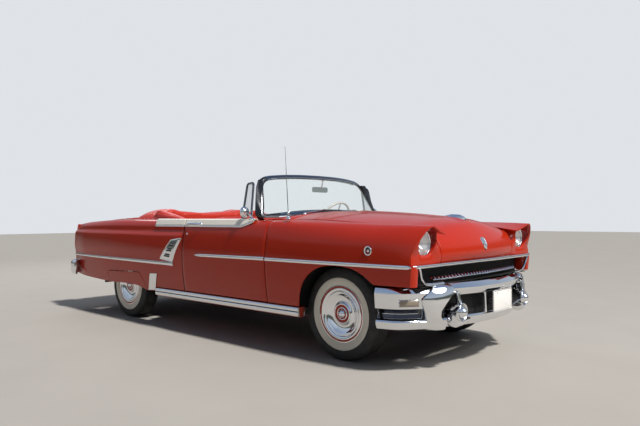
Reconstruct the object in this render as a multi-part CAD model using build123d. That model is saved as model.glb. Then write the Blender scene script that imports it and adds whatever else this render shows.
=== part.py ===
from build123d import *
import os
from math import cos, hypot, radians, sin

# A two-door 1950s American convertible with its top folded under a cover.
# Millimetres. +X is forward, +Y the car's left, +Z up, with the ground at z = 0 and the
# origin under the middle of the car's length. Left pieces are modelled, right ones mirrored.

# Whole car
WHEELBASE = 3023.0
FRONT_OVERHANG = 889.0
REAR_OVERHANG = 1328.0
NOSE_X = (FRONT_OVERHANG + WHEELBASE + REAR_OVERHANG) / 2
TAIL_X = -NOSE_X
FRONT_AXLE_X = NOSE_X - FRONT_OVERHANG
REAR_AXLE_X = TAIL_X + REAR_OVERHANG
FIREWALL_X = FRONT_AXLE_X - 469.0

# Wheels and tyres
TYRE_R = 350.0
TYRE_WIDTH = 180.0
RIM_R = 203.0
RIM_WIDTH = 150.0
FLANGE_R = 212.0
COVER_R = 188.0
DRUM_R = 119.0
FRONT_TRACK = 1473.0
REAR_TRACK = 1499.0
FRONT_WHEEL_Y = FRONT_TRACK / 2
REAR_WHEEL_Y = REAR_TRACK / 2
SPINDLE_R = 20.0
RUNNING_GAP = 0.05
SEAT_GAP = 0.3
TYRE_CLEARANCE = 12.0

# Front suspension and steering
KINGPIN_Y = 640.0
LOWER_ARM_Z = 210.0
UPPER_ARM_Z = 490.0
ARM_THICKNESS = 30.0
STEERING_ARM = 120.0
TRACK_ROD_Z = 262.0
TRACK_ROD_R = 9.0
EYE_HALF = 10.0
TRACK_ROD_HALF = 590.0
COLUMN_ANGLE = 28.0
COLUMN_R = 25.0
COLUMN_Y = 400.0
STEERING_HUB = (FIREWALL_X - 656, COLUMN_Y, 1026.0)
STEERING_RIM_R = 210.0
STEERING_RIM_TUBE = 10.0

# Frame
RAIL_IN_Y = 380.0
RAIL_OUT_Y = 450.0
RAIL_DEPTH = 120.0
MID_RAIL_TOP = 345.0
FRONT_RAIL_TOP = 450.0
REAR_RAIL_TOP = 545.0
TAIL_RAIL_TOP = 430.0
FLOOR_THICKNESS = 18.0
TUNNEL_R = 150.0

KICK_FRONT = (REAR_AXLE_X + 592, REAR_AXLE_X + 412)
KICK_REAR = (REAR_AXLE_X - 448, REAR_AXLE_X - 598)
MEMBER_Z = 240.0
MEMBER_DEPTH = 30.0

# Body levels and seams
TAIL_END_X = TAIL_X + 120
REAR_PANEL_X = TAIL_X + 150
SILL_Z = 385.0
WAIST_Z = 735.0
ROCKER_BOTTOM_Z = 300.0
ROCKER_LOW_Y = 915.0
ROCKER_TOP_Y = 922.0
ROCKER_TOP_Z = SILL_Z - 9
SILL_IN_Y = 826.0
SILL_FRONT_X = FRONT_AXLE_X - 331
SILL_REAR_X = KICK_FRONT[0] + 100
QUARTER_TRIM_Z = 633.0
TRIM_HALF = 13.0
TRIM_STAND = 8.0
TRIM_GAP = 0.4
SEAM = 6.0
DOOR_LENGTH = 1145.0
DOOR_FRONT_X = FIREWALL_X - 222
DOOR_REAR_X = DOOR_FRONT_X - DOOR_LENGTH
DOOR_FRONT_GAP = 9.0
DOOR_REAR_GAP = 7.0
DOOR_IN_Y = 800.0
GLASS_SLOT = 18.0
DOOR_BEVEL = 15.0
MIRROR_X = DOOR_FRONT_X - 288
DOOR_HINGE_Z = (470.0, 880.0)
SKIN = 45.0
HOOD_REAR_X = FIREWALL_X + 28
HOOD_LIP_Z = 741.0
COWL_HALF = DOOR_IN_Y - 10
LID_FRONT_X = REAR_AXLE_X - 208
LID_HALF = 560.0
NOSE_HALF = 553.0
END_REACH = 700.0
LID_BACK_X = TAIL_X + 20
HOOD_FRONT_X = NOSE_X - 90
LID_BOTTOM_Z = 640.0
BOOT_REAR_X = LID_FRONT_X + 60
BOOT_HALF = 740.0
SEAT_HALF = 600.0
KNEE_ROOM = 250.0
WING_LENGTH = 520.0
REAR_SEAT_X = KICK_FRONT[0] + 380
FRONT_SEAT_X = REAR_SEAT_X + KNEE_ROOM
SHEET = 25.0

# Wheel openings
ARCH_R = 395.0
HOUSE_R = 405.0
HOUSE_THICKNESS = 12.0
SKIRT_TOP_Z = 500.0
SKIRT_BOTTOM_Z = 376.0

# Front end
LAMP_Y = 740.0
LAMP_Z = 890.0
LAMP_R = 92.0
LAMP_FACE_X = NOSE_X - 220
GRILLE_HALF = 540.0
TOOTH_PITCH = 41.0
TOOTH_COUNT = 26
BUMPER_TOP_Z = 590.0
FOG_Y = 500.0
FOG_Z = 405.0
FOG_R = 62.0
# Plans of the bumpers' outer faces: centre, shoulder, corner and end.
FRONT_PLAN = [(NOSE_X - 14, 0.0), (NOSE_X - 109, 530.0), (NOSE_X - 228, 806.0), (NOSE_X - 470, 958.0)]
REAR_PLAN = [(TAIL_X, 0.0), (TAIL_X + 10, 620.0), (TAIL_X + 42, 878.0), (TAIL_X + 290, 962.0)]
PLATE_BOLT_SPACING = 178.0
PLATE_BOLT_R = 3.5

# Hood and cowl by station: x, half width, z of edge, z of centre.
HOOD = [
    (HOOD_REAR_X, 640, 1056, 1124),
    (FRONT_AXLE_X - 31, 630, 1031, 1104),
    (NOSE_X - 560, 602, 999, 1078),
    (NOSE_X - 290, 573, 972, 1048),
    (NOSE_X - 90, NOSE_HALF, 900, 965),
]
# Nose by level: z, x of the front at the seam, x at the middle.
NOSE = [
    (HOOD_LIP_Z, NOSE_X - 196, NOSE_X - 168),
    (830.0, NOSE_X - 182, NOSE_X - 136),
    (930.0, NOSE_X - 228, NOSE_X - 180),
    (1000.0, NOSE_X - 330, NOSE_X - 260),
    (1100.0, NOSE_X - 500, NOSE_X - 420),
]
# Trunk lid by station: x, half width, z of edge, z of centre.
LID = [
    (TAIL_X + 20, LID_HALF, 985, 1000),
    (TAIL_X + 420, LID_HALF, 1046, 1066),
    (TAIL_X + 770, LID_HALF, 1067, 1092),
    (LID_FRONT_X, LID_HALF, 1077, 1106),
]
# Tail of the lid by level: z, x of the rear at the seam, x at the middle.
LID_TAIL = [
    (LID_BOTTOM_Z, TAIL_X + 132, TAIL_X + 110),
    (850.0, TAIL_X + 128, TAIL_X + 104),
    (960.0, TAIL_X + 158, TAIL_X + 130),
    (1100.0, TAIL_X + 280, TAIL_X + 250),
]
# Body side by station: x, then y of sill, waist and crease, z of crease, y and z of crest,
# then y and z of the seam to the hood, cowl, deck or lid.
SIDE = [
    (TAIL_END_X, 838, 862, 852, 925, 815, 1004, LID_HALF + SEAM, 1012),
    (TAIL_X + 490, 885, 915, 903, 928, 868, 1028, LID_HALF + SEAM, 1050),
    (REAR_AXLE_X - 8, 915, 948, 934, 930, 895, 1055, LID_HALF + SEAM, 1078),
    (DOOR_REAR_X, 925, 957, 936, 930, 900, 1048, DOOR_IN_Y, 1048),
    (DOOR_FRONT_X, 925, 957, 936, 930, 892, 1046, 640 + SEAM, 1058),
    (FRONT_AXLE_X - 31, 925, 957, 932, 930, 850, 1036, 630 + SEAM, 1030),
    (NOSE_X - 600, 915, 950, 925, 928, 818, 1031, 605 + SEAM, 1003),
    (NOSE_X - 310, 897, 932, 905, 918, 800, 1028, 575 + SEAM, 975),
    (NOSE_X - 100, 878, 905, 872, 900, 780, 1024, NOSE_HALF + 1 + SEAM, 945),
]


def outline(points):
    """Face from rows of u, v, sag: sag bows the edge that leaves the point outwards."""
    edges = []
    for (u, v, sag), (u2, v2, _) in zip(points, points[1:] + points[:1]):
        if sag:
            run = hypot(u2 - u, v2 - v)
            middle = ((u + u2) / 2 + sag * (v2 - v) / run, (v + v2) / 2 - sag * (u2 - u) / run)
            edges.append(ThreePointArc((u, v), middle, (u2, v2)))
        else:
            edges.append(Line((u, v), (u2, v2)))
    return make_face(edges)


def straight(points):
    """Rows of u, v with no sag."""
    return [(u, v, 0) for u, v in points]


def side_prism(points, y0, y1):
    """Prism of an x, z outline from y0 to y1."""
    return extrude(Plane.XZ.offset(-y0) * outline(points), -(y1 - y0))


def front_prism(points, x0, x1):
    """Prism of a y, z outline from x0 to x1."""
    return extrude(Plane.YZ.offset(x0) * outline(points), x1 - x0)


def plan_prism(points, z0, z1):
    """Prism of an x, y outline from z0 to z1."""
    return extrude(Plane.XY.offset(z0) * outline(points), z1 - z0)


def block(x0, x1, y0, y1, z0, z1):
    return Pos((x0 + x1) / 2, (y0 + y1) / 2, (z0 + z1) / 2) * Box(x1 - x0, y1 - y0, z1 - z0)


def rod(start, end, radius):
    """Cylinder between two points."""
    start, end = Vector(*start), Vector(*end)
    axis = Plane(origin=start, z_dir=end - start)
    return axis * Cylinder(radius, (end - start).length, align=(Align.CENTER, Align.CENTER, Align.MIN))


def right(part):
    return mirror(part, about=Plane.XZ)


def both(part):
    return part + right(part)


def row_at(table, x):
    """Row of a station table at x, by straight lines between its stations."""
    for low, high in zip(table, table[1:]):
        if low[0] <= x <= high[0] or (x < low[0] and low is table[0]) or (x > high[0] and high is table[-1]):
            share = (x - low[0]) / (high[0] - low[0])
            return [a + (b - a) * share for a, b in zip(low, high)]
    raise ValueError("station outside the table")


def stations(table, x0, x1):
    """The two ends and the table's own stations between them."""
    return [x0] + [row[0] for row in table if x0 < row[0] < x1] + [x1]


def side_curve(x):
    """Outer side of the body at x, from the sill to the crest."""
    _, sill, waist, crease, crease_z, crest, crest_z, _, _ = row_at(SIDE, x)
    return [(sill, SILL_Z, 8), (waist, WAIST_Z, 4), (crease, crease_z, 6), (crest, crest_z, 0)]


def side_y(x, z):
    """Outer face of the body side at x and z."""
    curve = side_curve(x)
    for (y0, z0, sag), (y1, z1, _) in zip(curve, curve[1:]):
        if z <= z1 or z1 == curve[-1][1]:
            share = (z - z0) / (z1 - z0)
            return y0 + (y1 - y0) * share + sag * 4 * share * (1 - share)


def top_z(x, y):
    """Top of a fender or quarter at x and y, between its crest and its seam."""
    _, _, _, _, _, crest, crest_z, seam, seam_z = row_at(SIDE, x)
    return crest_z + (seam_z - crest_z) * (crest - y) / (crest - seam)


def shell_section(x, low, high):
    """Band between two distances outside the body side at x."""
    curve = side_curve(x)
    outer = [(y + high, z, sag) for y, z, sag in curve]
    sags = [0] + [sag for _, _, sag in curve[:-1]]
    inner = [(y + low, z, -sag) for (y, z, _), sag in zip(curve, sags)]
    return Plane.YZ.offset(x) * outline(outer + inner[::-1])


def side_patch(points, low, high):
    """Trim that lies on the body side, from its x, z outline."""
    xs = [row[0] for row in points]
    shell = loft([shell_section(x, low, high) for x in stations(SIDE, min(xs) - 1, max(xs) + 1)],
                 ruled=True)
    return shell & side_prism(points, 0, 1200)


def wall_section(x, inner_y):
    """Full thickness of a side wall at x."""
    curve = side_curve(x)
    crest_z = curve[-1][1]
    points = curve + straight([(inner_y, crest_z), (inner_y, SILL_Z)])
    return Plane.YZ.offset(x) * outline(points)


def skin_section(x, seam_y=None):
    """Side and top skin of a fender or quarter at x."""
    _, sill, waist, crease, crease_z, crest, crest_z, seam, seam_z = row_at(SIDE, x)
    if seam_y is not None:
        seam_z = crest_z + (seam_z - crest_z) * (crest - seam_y) / (crest - seam)
        seam = seam_y
    inner = [(seam, seam_z - SHEET), (crest - SKIN / 2, crest_z - SKIN),
             (crease - SKIN, crease_z - SHEET),
             (waist - SKIN, WAIST_Z), (sill - SKIN, SILL_Z)]
    return Plane.YZ.offset(x) * outline(side_curve(x) + straight([(seam, seam_z)] + inner))


def loft_along(section, table, x0, x1, **options):
    return loft([section(x, **options) for x in stations(table, x0, x1)], ruled=True)


def crown_form(table, x0, x1, inset, depth):
    """Crowned panel of the hood or lid, less an inset."""
    def section(x):
        _, half, edge_z, centre_z = row_at(table, x)
        half, edge_z, centre_z = half - inset, edge_z - inset, centre_z - inset
        points = [(-half, edge_z - depth, 0), (half, edge_z - depth, 0),
                  (half, edge_z, centre_z - edge_z), (-half, edge_z, 0)]
        return Plane.YZ.offset(x) * outline(points)
    return loft([section(x) for x in stations(table, x0, x1)], ruled=True)


def end_form(tail, back_x, half, inset):
    """Rounded end of the hood or lid, from its levels, carried on past the seam."""
    ahead = 1 if tail[0][1] > back_x else -1
    faces = []
    for z, seam_x, middle_x in tail:
        edge_x = middle_x - (middle_x - seam_x) * (END_REACH / half) ** 2 - ahead * inset
        middle_x -= ahead * inset
        arc = ThreePointArc((edge_x, -END_REACH), (middle_x, 0), (edge_x, END_REACH))
        sides = Polyline((edge_x, END_REACH), (back_x, END_REACH), (back_x, -END_REACH),
                         (edge_x, -END_REACH))
        faces.append(Plane.XY.offset(z) * make_face([arc] + sides.edges()))
    return loft(faces, ruled=True)


def arch_cut(x, z, radius, y0, y1, foot_z):
    """Wheel opening: round above the axle and straight down below it."""
    points = [(x - radius, foot_z, 0), (x + radius, foot_z, 0), (x + radius, z, 0),
              (x - radius, z, 0)]
    low = side_prism(points, y0, y1)
    return low + Pos(x, (y0 + y1) / 2, z) * Rot(90, 0, 0) * Cylinder(radius, y1 - y0)


def wheel_parts(x, y, outboard):
    """Tyre and wheel at an axle end; outboard is +1 on the left."""
    def turned(points):
        face = Plane.YZ * outline([(outboard * u, v, outboard * sag) for u, v, sag in points])
        return Pos(x, y, TYRE_R) * revolve(face, Axis.Y, 360)
    half, bead = TYRE_WIDTH / 2, RIM_WIDTH / 2
    foot, side_r = bead - SEAT_GAP, RIM_R + 70
    outer = [(foot, RIM_R + SEAT_GAP), (foot, FLANGE_R + 3), (half, side_r), (half - 26, TYRE_R)]
    tyre = turned(straight([(-u, v) for u, v in outer] + outer[::-1]))
    crown = half - 34
    tyre -= turned(straight([(20 - bead, RIM_R - 5), (bead - 20, RIM_R - 5), (crown, TYRE_R - 34),
                             (-crown, TYRE_R - 34)]))
    back = FLANGE_R - 21
    wheel = turned(straight([(0, 0), (84, 0), (62, 48), (66, 62), (43, 96), (48, 150), (66, COVER_R - 6),
                             (bead + 6, FLANGE_R), (bead, FLANGE_R), (bead, RIM_R), (-bead, RIM_R),
                             (-bead, FLANGE_R),
                             (-bead - 6, FLANGE_R), (-bead - 6, back), (20, back - 4), (20, DRUM_R),
                             (-66, DRUM_R),
                             (-66, 0)]))
    bore = turned([(-75, 0, 0), (25, 0, 0), (25, SPINDLE_R + RUNNING_GAP, 0),
                   (-75, SPINDLE_R + RUNNING_GAP, 0)])
    return tyre, wheel - bore


def knuckle():
    """Left front upright with its spindle, backing plate and steering arm."""
    x, z = FRONT_AXLE_X, TYRE_R
    low = LOWER_ARM_Z + ARM_THICKNESS / 2 + SEAT_GAP
    high = UPPER_ARM_Z - ARM_THICKNESS / 2 - SEAT_GAP
    upright = side_prism(straight([(x - 22, low), (x + 22, low), (x + 40, z), (x + 22, high),
                                   (x - 22, high), (x - 40, z)]), KINGPIN_Y - 18, KINGPIN_Y + 18)
    plate_y = FRONT_WHEEL_Y - 70 - 11
    plate = rod((x, plate_y, z), (x, plate_y + 5, z), DRUM_R)
    spindle = rod((x, KINGPIN_Y, z), (x, FRONT_WHEEL_Y + 15, z), SPINDLE_R)
    arm_z = TRACK_ROD_Z + EYE_HALF + SEAT_GAP
    arm = plan_prism(straight([(x, KINGPIN_Y - 18), (x, KINGPIN_Y + 12),
                               (x - STEERING_ARM, KINGPIN_Y - 20),
                               (x - STEERING_ARM - 14, KINGPIN_Y - 34),
                               (x - STEERING_ARM, KINGPIN_Y - 48)]),
                     arm_z, arm_z + 20)
    return upright + plate + spindle + arm


def track_rod():
    """Link across the car behind the axle, with an eye at each end."""
    x = FRONT_AXLE_X - STEERING_ARM
    bar = rod((x, -TRACK_ROD_HALF, TRACK_ROD_Z), (x, TRACK_ROD_HALF, TRACK_ROD_Z), TRACK_ROD_R)
    eye = Pos(x, TRACK_ROD_HALF + 14, TRACK_ROD_Z) * Cylinder(20, 2 * EYE_HALF)
    return bar + both(eye)


def front_suspension():
    """Wishbones, springs and their pivot shafts, left and right."""
    x = FRONT_AXLE_X
    half = ARM_THICKNESS / 2
    def wishbone(z, spread, inner_y):
        outer = plan_prism(straight([(x - spread - 25, inner_y), (x + spread + 25, inner_y),
                                     (x + 28, KINGPIN_Y + 10),
                                     (x - 28, KINGPIN_Y + 10)]), z - half, z + half)
        window = plan_prism(straight([(x - spread + 35, inner_y + 35), (x + spread - 35, inner_y + 35),
                                      (x + 20, KINGPIN_Y - 60),
                                      (x - 20, KINGPIN_Y - 60)]), z - half, z + half)
        shaft = rod((x - spread - 40, inner_y, z), (x + spread + 40, inner_y, z), half)
        return outer - window + shaft
    lower = wishbone(LOWER_ARM_Z, 120.0, 395.0)
    upper = wishbone(UPPER_ARM_Z, 75.0, 430.0)
    pad = plan_prism(straight([(x - 60, 470), (x + 60, 470), (x + 60, 570), (x - 60, 570)]),
                     LOWER_ARM_Z - half, LOWER_ARM_Z + half)
    spring = rod((x, 520, LOWER_ARM_Z + half), (x, 520, FRONT_RAIL_TOP - RAIL_DEPTH), 48.0)
    return both(lower + upper + pad + spring)


def chassis_frame():
    """Two rails with kick-ups over the axles, joined by cross members."""
    d = RAIL_DEPTH
    top = [(NOSE_X - 260, FRONT_RAIL_TOP), (FIREWALL_X + 108, FRONT_RAIL_TOP),
           (FIREWALL_X - 57, MID_RAIL_TOP), (KICK_FRONT[0], MID_RAIL_TOP),
           (KICK_FRONT[1], REAR_RAIL_TOP), (KICK_REAR[0], REAR_RAIL_TOP), (KICK_REAR[1], TAIL_RAIL_TOP),
           (TAIL_X + 180, TAIL_RAIL_TOP)]
    low = [(x, z - d) for x, z in reversed(top)]
    rail = side_prism(straight(top + low), RAIL_IN_Y, RAIL_OUT_Y)
    members = [(NOSE_X - 330, NOSE_X - 260, FRONT_RAIL_TOP - 80, FRONT_RAIL_TOP),
               (FIREWALL_X - 782, FIREWALL_X - 702, MEMBER_Z, MEMBER_Z + MEMBER_DEPTH),
               (KICK_FRONT[0] + 60, KICK_FRONT[0] + 140, MEMBER_Z, MEMBER_Z + MEMBER_DEPTH),
               (REAR_AXLE_X - 408, REAR_AXLE_X - 348, REAR_RAIL_TOP - 60, REAR_RAIL_TOP),
               (TAIL_X + 180, TAIL_X + 230, TAIL_RAIL_TOP - 80, TAIL_RAIL_TOP)]
    frame = both(rail)
    for x0, x1, z0, z1 in members:
        frame += block(x0, x1, -RAIL_IN_Y, RAIL_IN_Y, z0, z1)
    x = FRONT_AXLE_X
    low_z = LOWER_ARM_Z + ARM_THICKNESS / 2
    frame += block(x - 70, x + 70, -420, 420, low_z, FRONT_RAIL_TOP - d)
    tower_top = UPPER_ARM_Z - ARM_THICKNESS / 2
    frame += both(block(x - 62, x + 62, 400, 570, FRONT_RAIL_TOP - d, FRONT_RAIL_TOP)
                  + block(x - 100, x + 100, 400, 446, FRONT_RAIL_TOP, tower_top))
    return frame


def body_floor():
    """Floor with its tunnel, kick-up, trunk floor, toe board and the two sills."""
    t = FLOOR_THICKNESS
    m, r, q = MID_RAIL_TOP, REAR_RAIL_TOP, TAIL_RAIL_TOP
    toe_x = FIREWALL_X - 62
    low = [(toe_x, m), (KICK_FRONT[0], m), (KICK_FRONT[1], r), (KICK_REAR[0], r), (KICK_REAR[1], q),
           (REAR_PANEL_X, q)]
    high = [(x, z + t) for x, z in low[::-1]]
    floor = side_prism(straight(high + low), -SEAT_HALF, SEAT_HALF)
    floor += both(block(KICK_FRONT[0], toe_x, SEAT_HALF - 2, SILL_IN_Y + 6, m, m + t))
    toe_half = COWL_HALF - 22
    floor += side_prism(straight([(toe_x, m), (FIREWALL_X, 470), (FIREWALL_X, 500), (toe_x - 20, m + t)]),
                        -toe_half, toe_half)
    centre = m - 20
    tunnel = rod((KICK_FRONT[0] - 100, 0, centre), (FIREWALL_X, 0, centre), TUNNEL_R)
    hollow = rod((KICK_FRONT[1] - 100, 0, centre), (FIREWALL_X + 20, 0, centre), TUNNEL_R - t)
    floor = floor + (tunnel - block(TAIL_X, NOSE_X, -TUNNEL_R, TUNNEL_R, 0, m)) - hollow
    sill = front_prism(straight([(SILL_IN_Y, ROCKER_BOTTOM_Z), (ROCKER_LOW_Y, ROCKER_BOTTOM_Z),
                                 (ROCKER_TOP_Y, ROCKER_TOP_Z),
                                 (SILL_IN_Y, ROCKER_TOP_Z)]), SILL_REAR_X, SILL_FRONT_X)
    tyre_sweep = hypot(TYRE_R, FRONT_WHEEL_Y + TYRE_WIDTH / 2 - KINGPIN_Y) + TYRE_CLEARANCE
    sill -= Pos(FRONT_AXLE_X, KINGPIN_Y, ROCKER_TOP_Z) * Cylinder(tyre_sweep, 2 * ROCKER_TOP_Z)
    return floor + both(sill)


def cowl():
    """Firewall, hinge pillars and the crowned panel ahead of the windshield."""
    wall = block(FIREWALL_X, FIREWALL_X + 18, -COWL_HALF, COWL_HALF, 470, 996)
    wall += block(FIREWALL_X, FIREWALL_X + 18, -630, 630, 990, 1030)
    pillar = block(DOOR_FRONT_X + DOOR_FRONT_GAP, FIREWALL_X, COWL_HALF - 20, COWL_HALF + 60,
                   ROCKER_TOP_Z, 990)
    def section(x, half, drop):
        _, _, edge_z, centre_z = row_at(HOOD, HOOD_REAR_X)
        points = [(-half, edge_z - drop - 40, 0), (half, edge_z - drop - 40, 0),
                  (half, edge_z - drop, centre_z - edge_z), (-half, edge_z - drop, 0)]
        return Plane.YZ.offset(x) * outline(points)
    ahead = loft([section(DOOR_FRONT_X + DOOR_FRONT_GAP, 640, -2), section(HOOD_REAR_X - 8, 634, 0)],
                 ruled=True)
    behind = loft([section(DOOR_FRONT_X - 190, COWL_HALF, 16),
                   section(DOOR_FRONT_X + DOOR_FRONT_GAP, COWL_HALF, 16)], ruled=True)
    panel = ahead + behind - glass_form()
    column = rod(column_point(-200), column_point(900), COLUMN_R + 6)
    door_x, z = DOOR_FRONT_X + SEAT_GAP, HOOD[0][2] - 26
    for hinge_z in DOOR_HINGE_Z:
        pillar += block(door_x, FIREWALL_X, COWL_HALF + 20, COWL_HALF + 50, hinge_z, hinge_z + 60)
    leaf = block(HOOD_REAR_X - 12, HOOD_REAR_X - SEAT_GAP, 300, 360, z, z + 30)
    return wall - column + panel + both(pillar + leaf)


def column_point(distance):
    """Point on the steering axis, that far down from the steering wheel's hub."""
    x, y, z = STEERING_HUB
    angle = radians(COLUMN_ANGLE)
    return (x + distance * cos(angle), y, z - distance * sin(angle))


def steering_column():
    """Column tube from under the steering wheel through the firewall to the steering box."""
    bore = rod(column_point(0), column_point(110), 9 + RUNNING_GAP)
    tube = rod(column_point(40), column_point(960), COLUMN_R) - bore
    end = column_point(960)
    box = block(end[0] - 70, end[0] + 90, RAIL_IN_Y, RAIL_OUT_Y, FRONT_RAIL_TOP, end[2] + 40)
    return tube + box


def steering_wheel():
    """Rim, three spokes, hub and the shaft that turns in the column."""
    plane = Plane(origin=STEERING_HUB, x_dir=(0, 1, 0),
                  z_dir=Vector(*column_point(1)) - Vector(*STEERING_HUB))
    rim = Plane.XZ * Pos(STEERING_RIM_R, -12) * RegularPolygon(STEERING_RIM_TUBE, 6)
    wheel = revolve(rim, Axis.Z, 360)
    wheel += Pos(0, 0, 8) * Cylinder(34, 50)
    for angle in (0, 180, 90):
        wheel += Rot(0, 0, angle) * Pos(STEERING_RIM_R / 2, 0, -2) * Box(STEERING_RIM_R, 16, 9)
    wheel += Pos(0, 0, 60) * Cylinder(9, 80)
    return plane * wheel


def glass_form():
    """Everything behind the windshield's curved outer face."""
    faces = []
    for z, centre_x, end_x, half in ((940.0, DOOR_FRONT_X + 30, DOOR_FRONT_X - 129, 834.0),
                                     (1450.0, DOOR_FRONT_X - 264, DOOR_FRONT_X - 350, 660.0)):
        arc = ThreePointArc((end_x, -half), (centre_x, 0), (end_x, half))
        back = Polyline((end_x, half), (end_x - 900, half + 600), (end_x - 900, -half - 600),
                        (end_x, -half))
        faces.append(Plane.XY.offset(z) * make_face([arc] + back.edges()))
    return loft(faces, ruled=True)


def windshield_band(ahead, behind):
    """Curved band between two faces parallel to the glass."""
    form = glass_form()
    return Pos(ahead, 0, 0) * form - Pos(-behind, 0, 0) * form


def windshield_outline(inset):
    """Front view of the windshield opening, less an inset."""
    base_half, top_half, base_z, top_z = 792.0 - inset, 668.0 - inset, 1078.0, 1442.0 - inset
    shoulder_z = 1370.0 - inset
    points = [(-base_half, base_z, 0), (base_half, base_z, 0), (top_half + 26, shoulder_z, 16),
              (top_half - 80, top_z - 8, 8), (-(top_half - 80), top_z - 8, 16),
              (-(top_half + 26), shoulder_z, 0)]
    return front_prism(points, DOOR_FRONT_X - 640, FIREWALL_X)


def windshield():
    """Frame with its pillars, and the curved pane inside it."""
    frame = windshield_band(4.0, 22.0) & (windshield_outline(0) - windshield_outline(30))
    pane = windshield_band(0.0, 6.0) & windshield_outline(30 + SEAT_GAP)
    return frame, pane


def dashboard():
    """Instrument panel behind the windshield."""
    x, z = DOOR_FRONT_X - 194, 1044
    points = [(FIREWALL_X - 212, z, 0), (x, z - 8, 10), (x - 28, z - 44, 0), (x - 34, z - 84, 6),
              (x - 4, z - 100, 0), (FIREWALL_X - 212, z - 100, 0)]
    half = COWL_HALF - 20
    panel = side_prism(points, -half, half) & (Pos(-SEAT_GAP, 0, 0) * glass_form())
    pod = straight([(x - 46, z + 2), (x - 16, z + 8), (x + 14, z - 10), (x + 14, z - 84),
                    (x - 31, z - 79)])
    return panel + side_prism(pod, COLUMN_Y - 120, COLUMN_Y + 120)


def door():
    """Left door: whole thickness, with the rear face bevelled so that it swings clear."""
    x0, x1 = DOOR_REAR_X, DOOR_FRONT_X
    body = loft([wall_section(x, DOOR_IN_Y) for x in (x0, x1)], ruled=True)
    body -= block(x0 - 1, x1 + 1, 0, 1200, 0, SILL_Z)
    wedge = plan_prism(straight([(x0 - 1, DOOR_IN_Y - 1), (x0 + DOOR_BEVEL, DOOR_IN_Y - 1),
                                 (x0 - 1, 962)]), 0, 1400)
    slot_y = (DOOR_IN_Y + side_curve(x0)[-1][0]) / 2
    slot = block(x0 + 60, x1 - 300, slot_y - GLASS_SLOT / 2, slot_y + GLASS_SLOT / 2, 900, 1400)
    return body - wedge - slot


def door_trim():
    """Spear, belt strip, handle, mirror and vent window frame of the left door."""
    spear = side_patch(straight([(DOOR_REAR_X + 201, WAIST_Z), (DOOR_REAR_X + 215, WAIST_Z - TRIM_HALF),
                                 (DOOR_FRONT_X - 2, WAIST_Z - TRIM_HALF),
                                 (DOOR_FRONT_X - 2, WAIST_Z + TRIM_HALF),
                                 (DOOR_REAR_X + 235, WAIST_Z + TRIM_HALF)]),
                       TRIM_GAP, TRIM_STAND)
    strip = side_patch(straight([(DOOR_REAR_X + 2, 990), (DOOR_FRONT_X - 360, 990),
                                 (DOOR_FRONT_X - 297, 1043), (DOOR_REAR_X + 2, 1043)]),
                       TRIM_GAP, TRIM_STAND)
    x, z = DOOR_REAR_X + 163, 1002
    y = side_y(x, z) + TRIM_STAND + TRIM_GAP + 26
    handle = rod((x - 52, y, z), (x + 52, y, z), 9)
    for foot_x in (x - 44, x + 44):
        handle += rod((foot_x, y, z), (foot_x, y - 28, z), 6)
    x = MIRROR_X
    crest_y, crest_z = side_curve(x)[-1][:2]
    stem = rod((x, crest_y - 14, crest_z + 3 * SEAT_GAP), (x, crest_y - 10, 1120), 7)
    mirror_head = Plane(origin=(x - 12, crest_y + 6, 1136), z_dir=(-1, 0, 0)) * Cylinder(52, 26)
    neck = rod((x, crest_y - 10, 1120), (x - 8, crest_y + 6, 1130), 7)
    vent = vent_pane(24.0, 16.0) - vent_pane(0.0, 30.0)
    return spear + strip + handle + stem + neck + mirror_head + vent


def section_strip(x, z):
    """Section of a raised moulding on the body side at x."""
    low, high = side_y(x, z - TRIM_HALF) + TRIM_GAP, side_y(x, z + TRIM_HALF) + TRIM_GAP
    points = [(low, z - TRIM_HALF, 0), (max(low, high) + TRIM_STAND, z, 0), (high, z + TRIM_HALF, 0),
              (side_y(x, z) + TRIM_GAP, z, 0)]
    return Plane.YZ.offset(x) * outline(points)


def vent_pane(grow, thickness):
    """Three-sided vent pane on the door, grown by the width of its frame."""
    foot, half = side_curve(MIRROR_X)[-1][1] + 3 * SEAT_GAP, thickness / 2
    rear, front, top = MIRROR_X - 88, MIRROR_X + 104, 1352 + grow
    points = straight([(rear - grow, foot), (front + grow, foot), (rear + 42 + grow * 0.7, top),
                       (rear - grow, top)])
    lean = front_prism(straight([(856 - half, foot), (856 + half, foot), (786 + half, 1400),
                                 (786 - half, 1400)]),
                       rear - 100, front + 100)
    return side_prism(points, 700, 1000) & lean


def front_fender():
    """Left front fender: side and top skin, lamp housing, inner apron and splash guards."""
    x0 = DOOR_FRONT_X + DOOR_FRONT_GAP
    skin = loft_along(skin_section, SIDE, x0, NOSE_X - 115)
    skin += front_nose_block()
    front = [(x0, 200), (NOSE_X - 208, 200), (NOSE_X - 208, 600), (NOSE_X - 196, WAIST_Z),
             (NOSE_X - 204, 811), (NOSE_X - 128, 1000), (NOSE_X - 115, 1100), (x0, 1100)]
    skin = skin & side_prism(straight(front), 0, 1100)
    skin -= arch_cut(FRONT_AXLE_X + 20, TYRE_R - 20, ARCH_R - 10, 700, 1100, 0)
    skin -= block(FRONT_AXLE_X + 69, NOSE_X, 700, 1100, 0, 600)
    skin -= Pos(LAMP_FACE_X + 40, LAMP_Y, LAMP_Z) * Rot(0, 90, 0) * Cylinder(LAMP_R + 10, 130)
    apron = block(HOOD_REAR_X, NOSE_X - 310, 556, 568, 742, 915)
    apron += block(HOOD_REAR_X, NOSE_X - 310, 556, 880, 730, 742)
    guard = block(NOSE_X - 434, NOSE_X - 422, 470, 815, 420, 736)
    return skin + apron + guard


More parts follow.
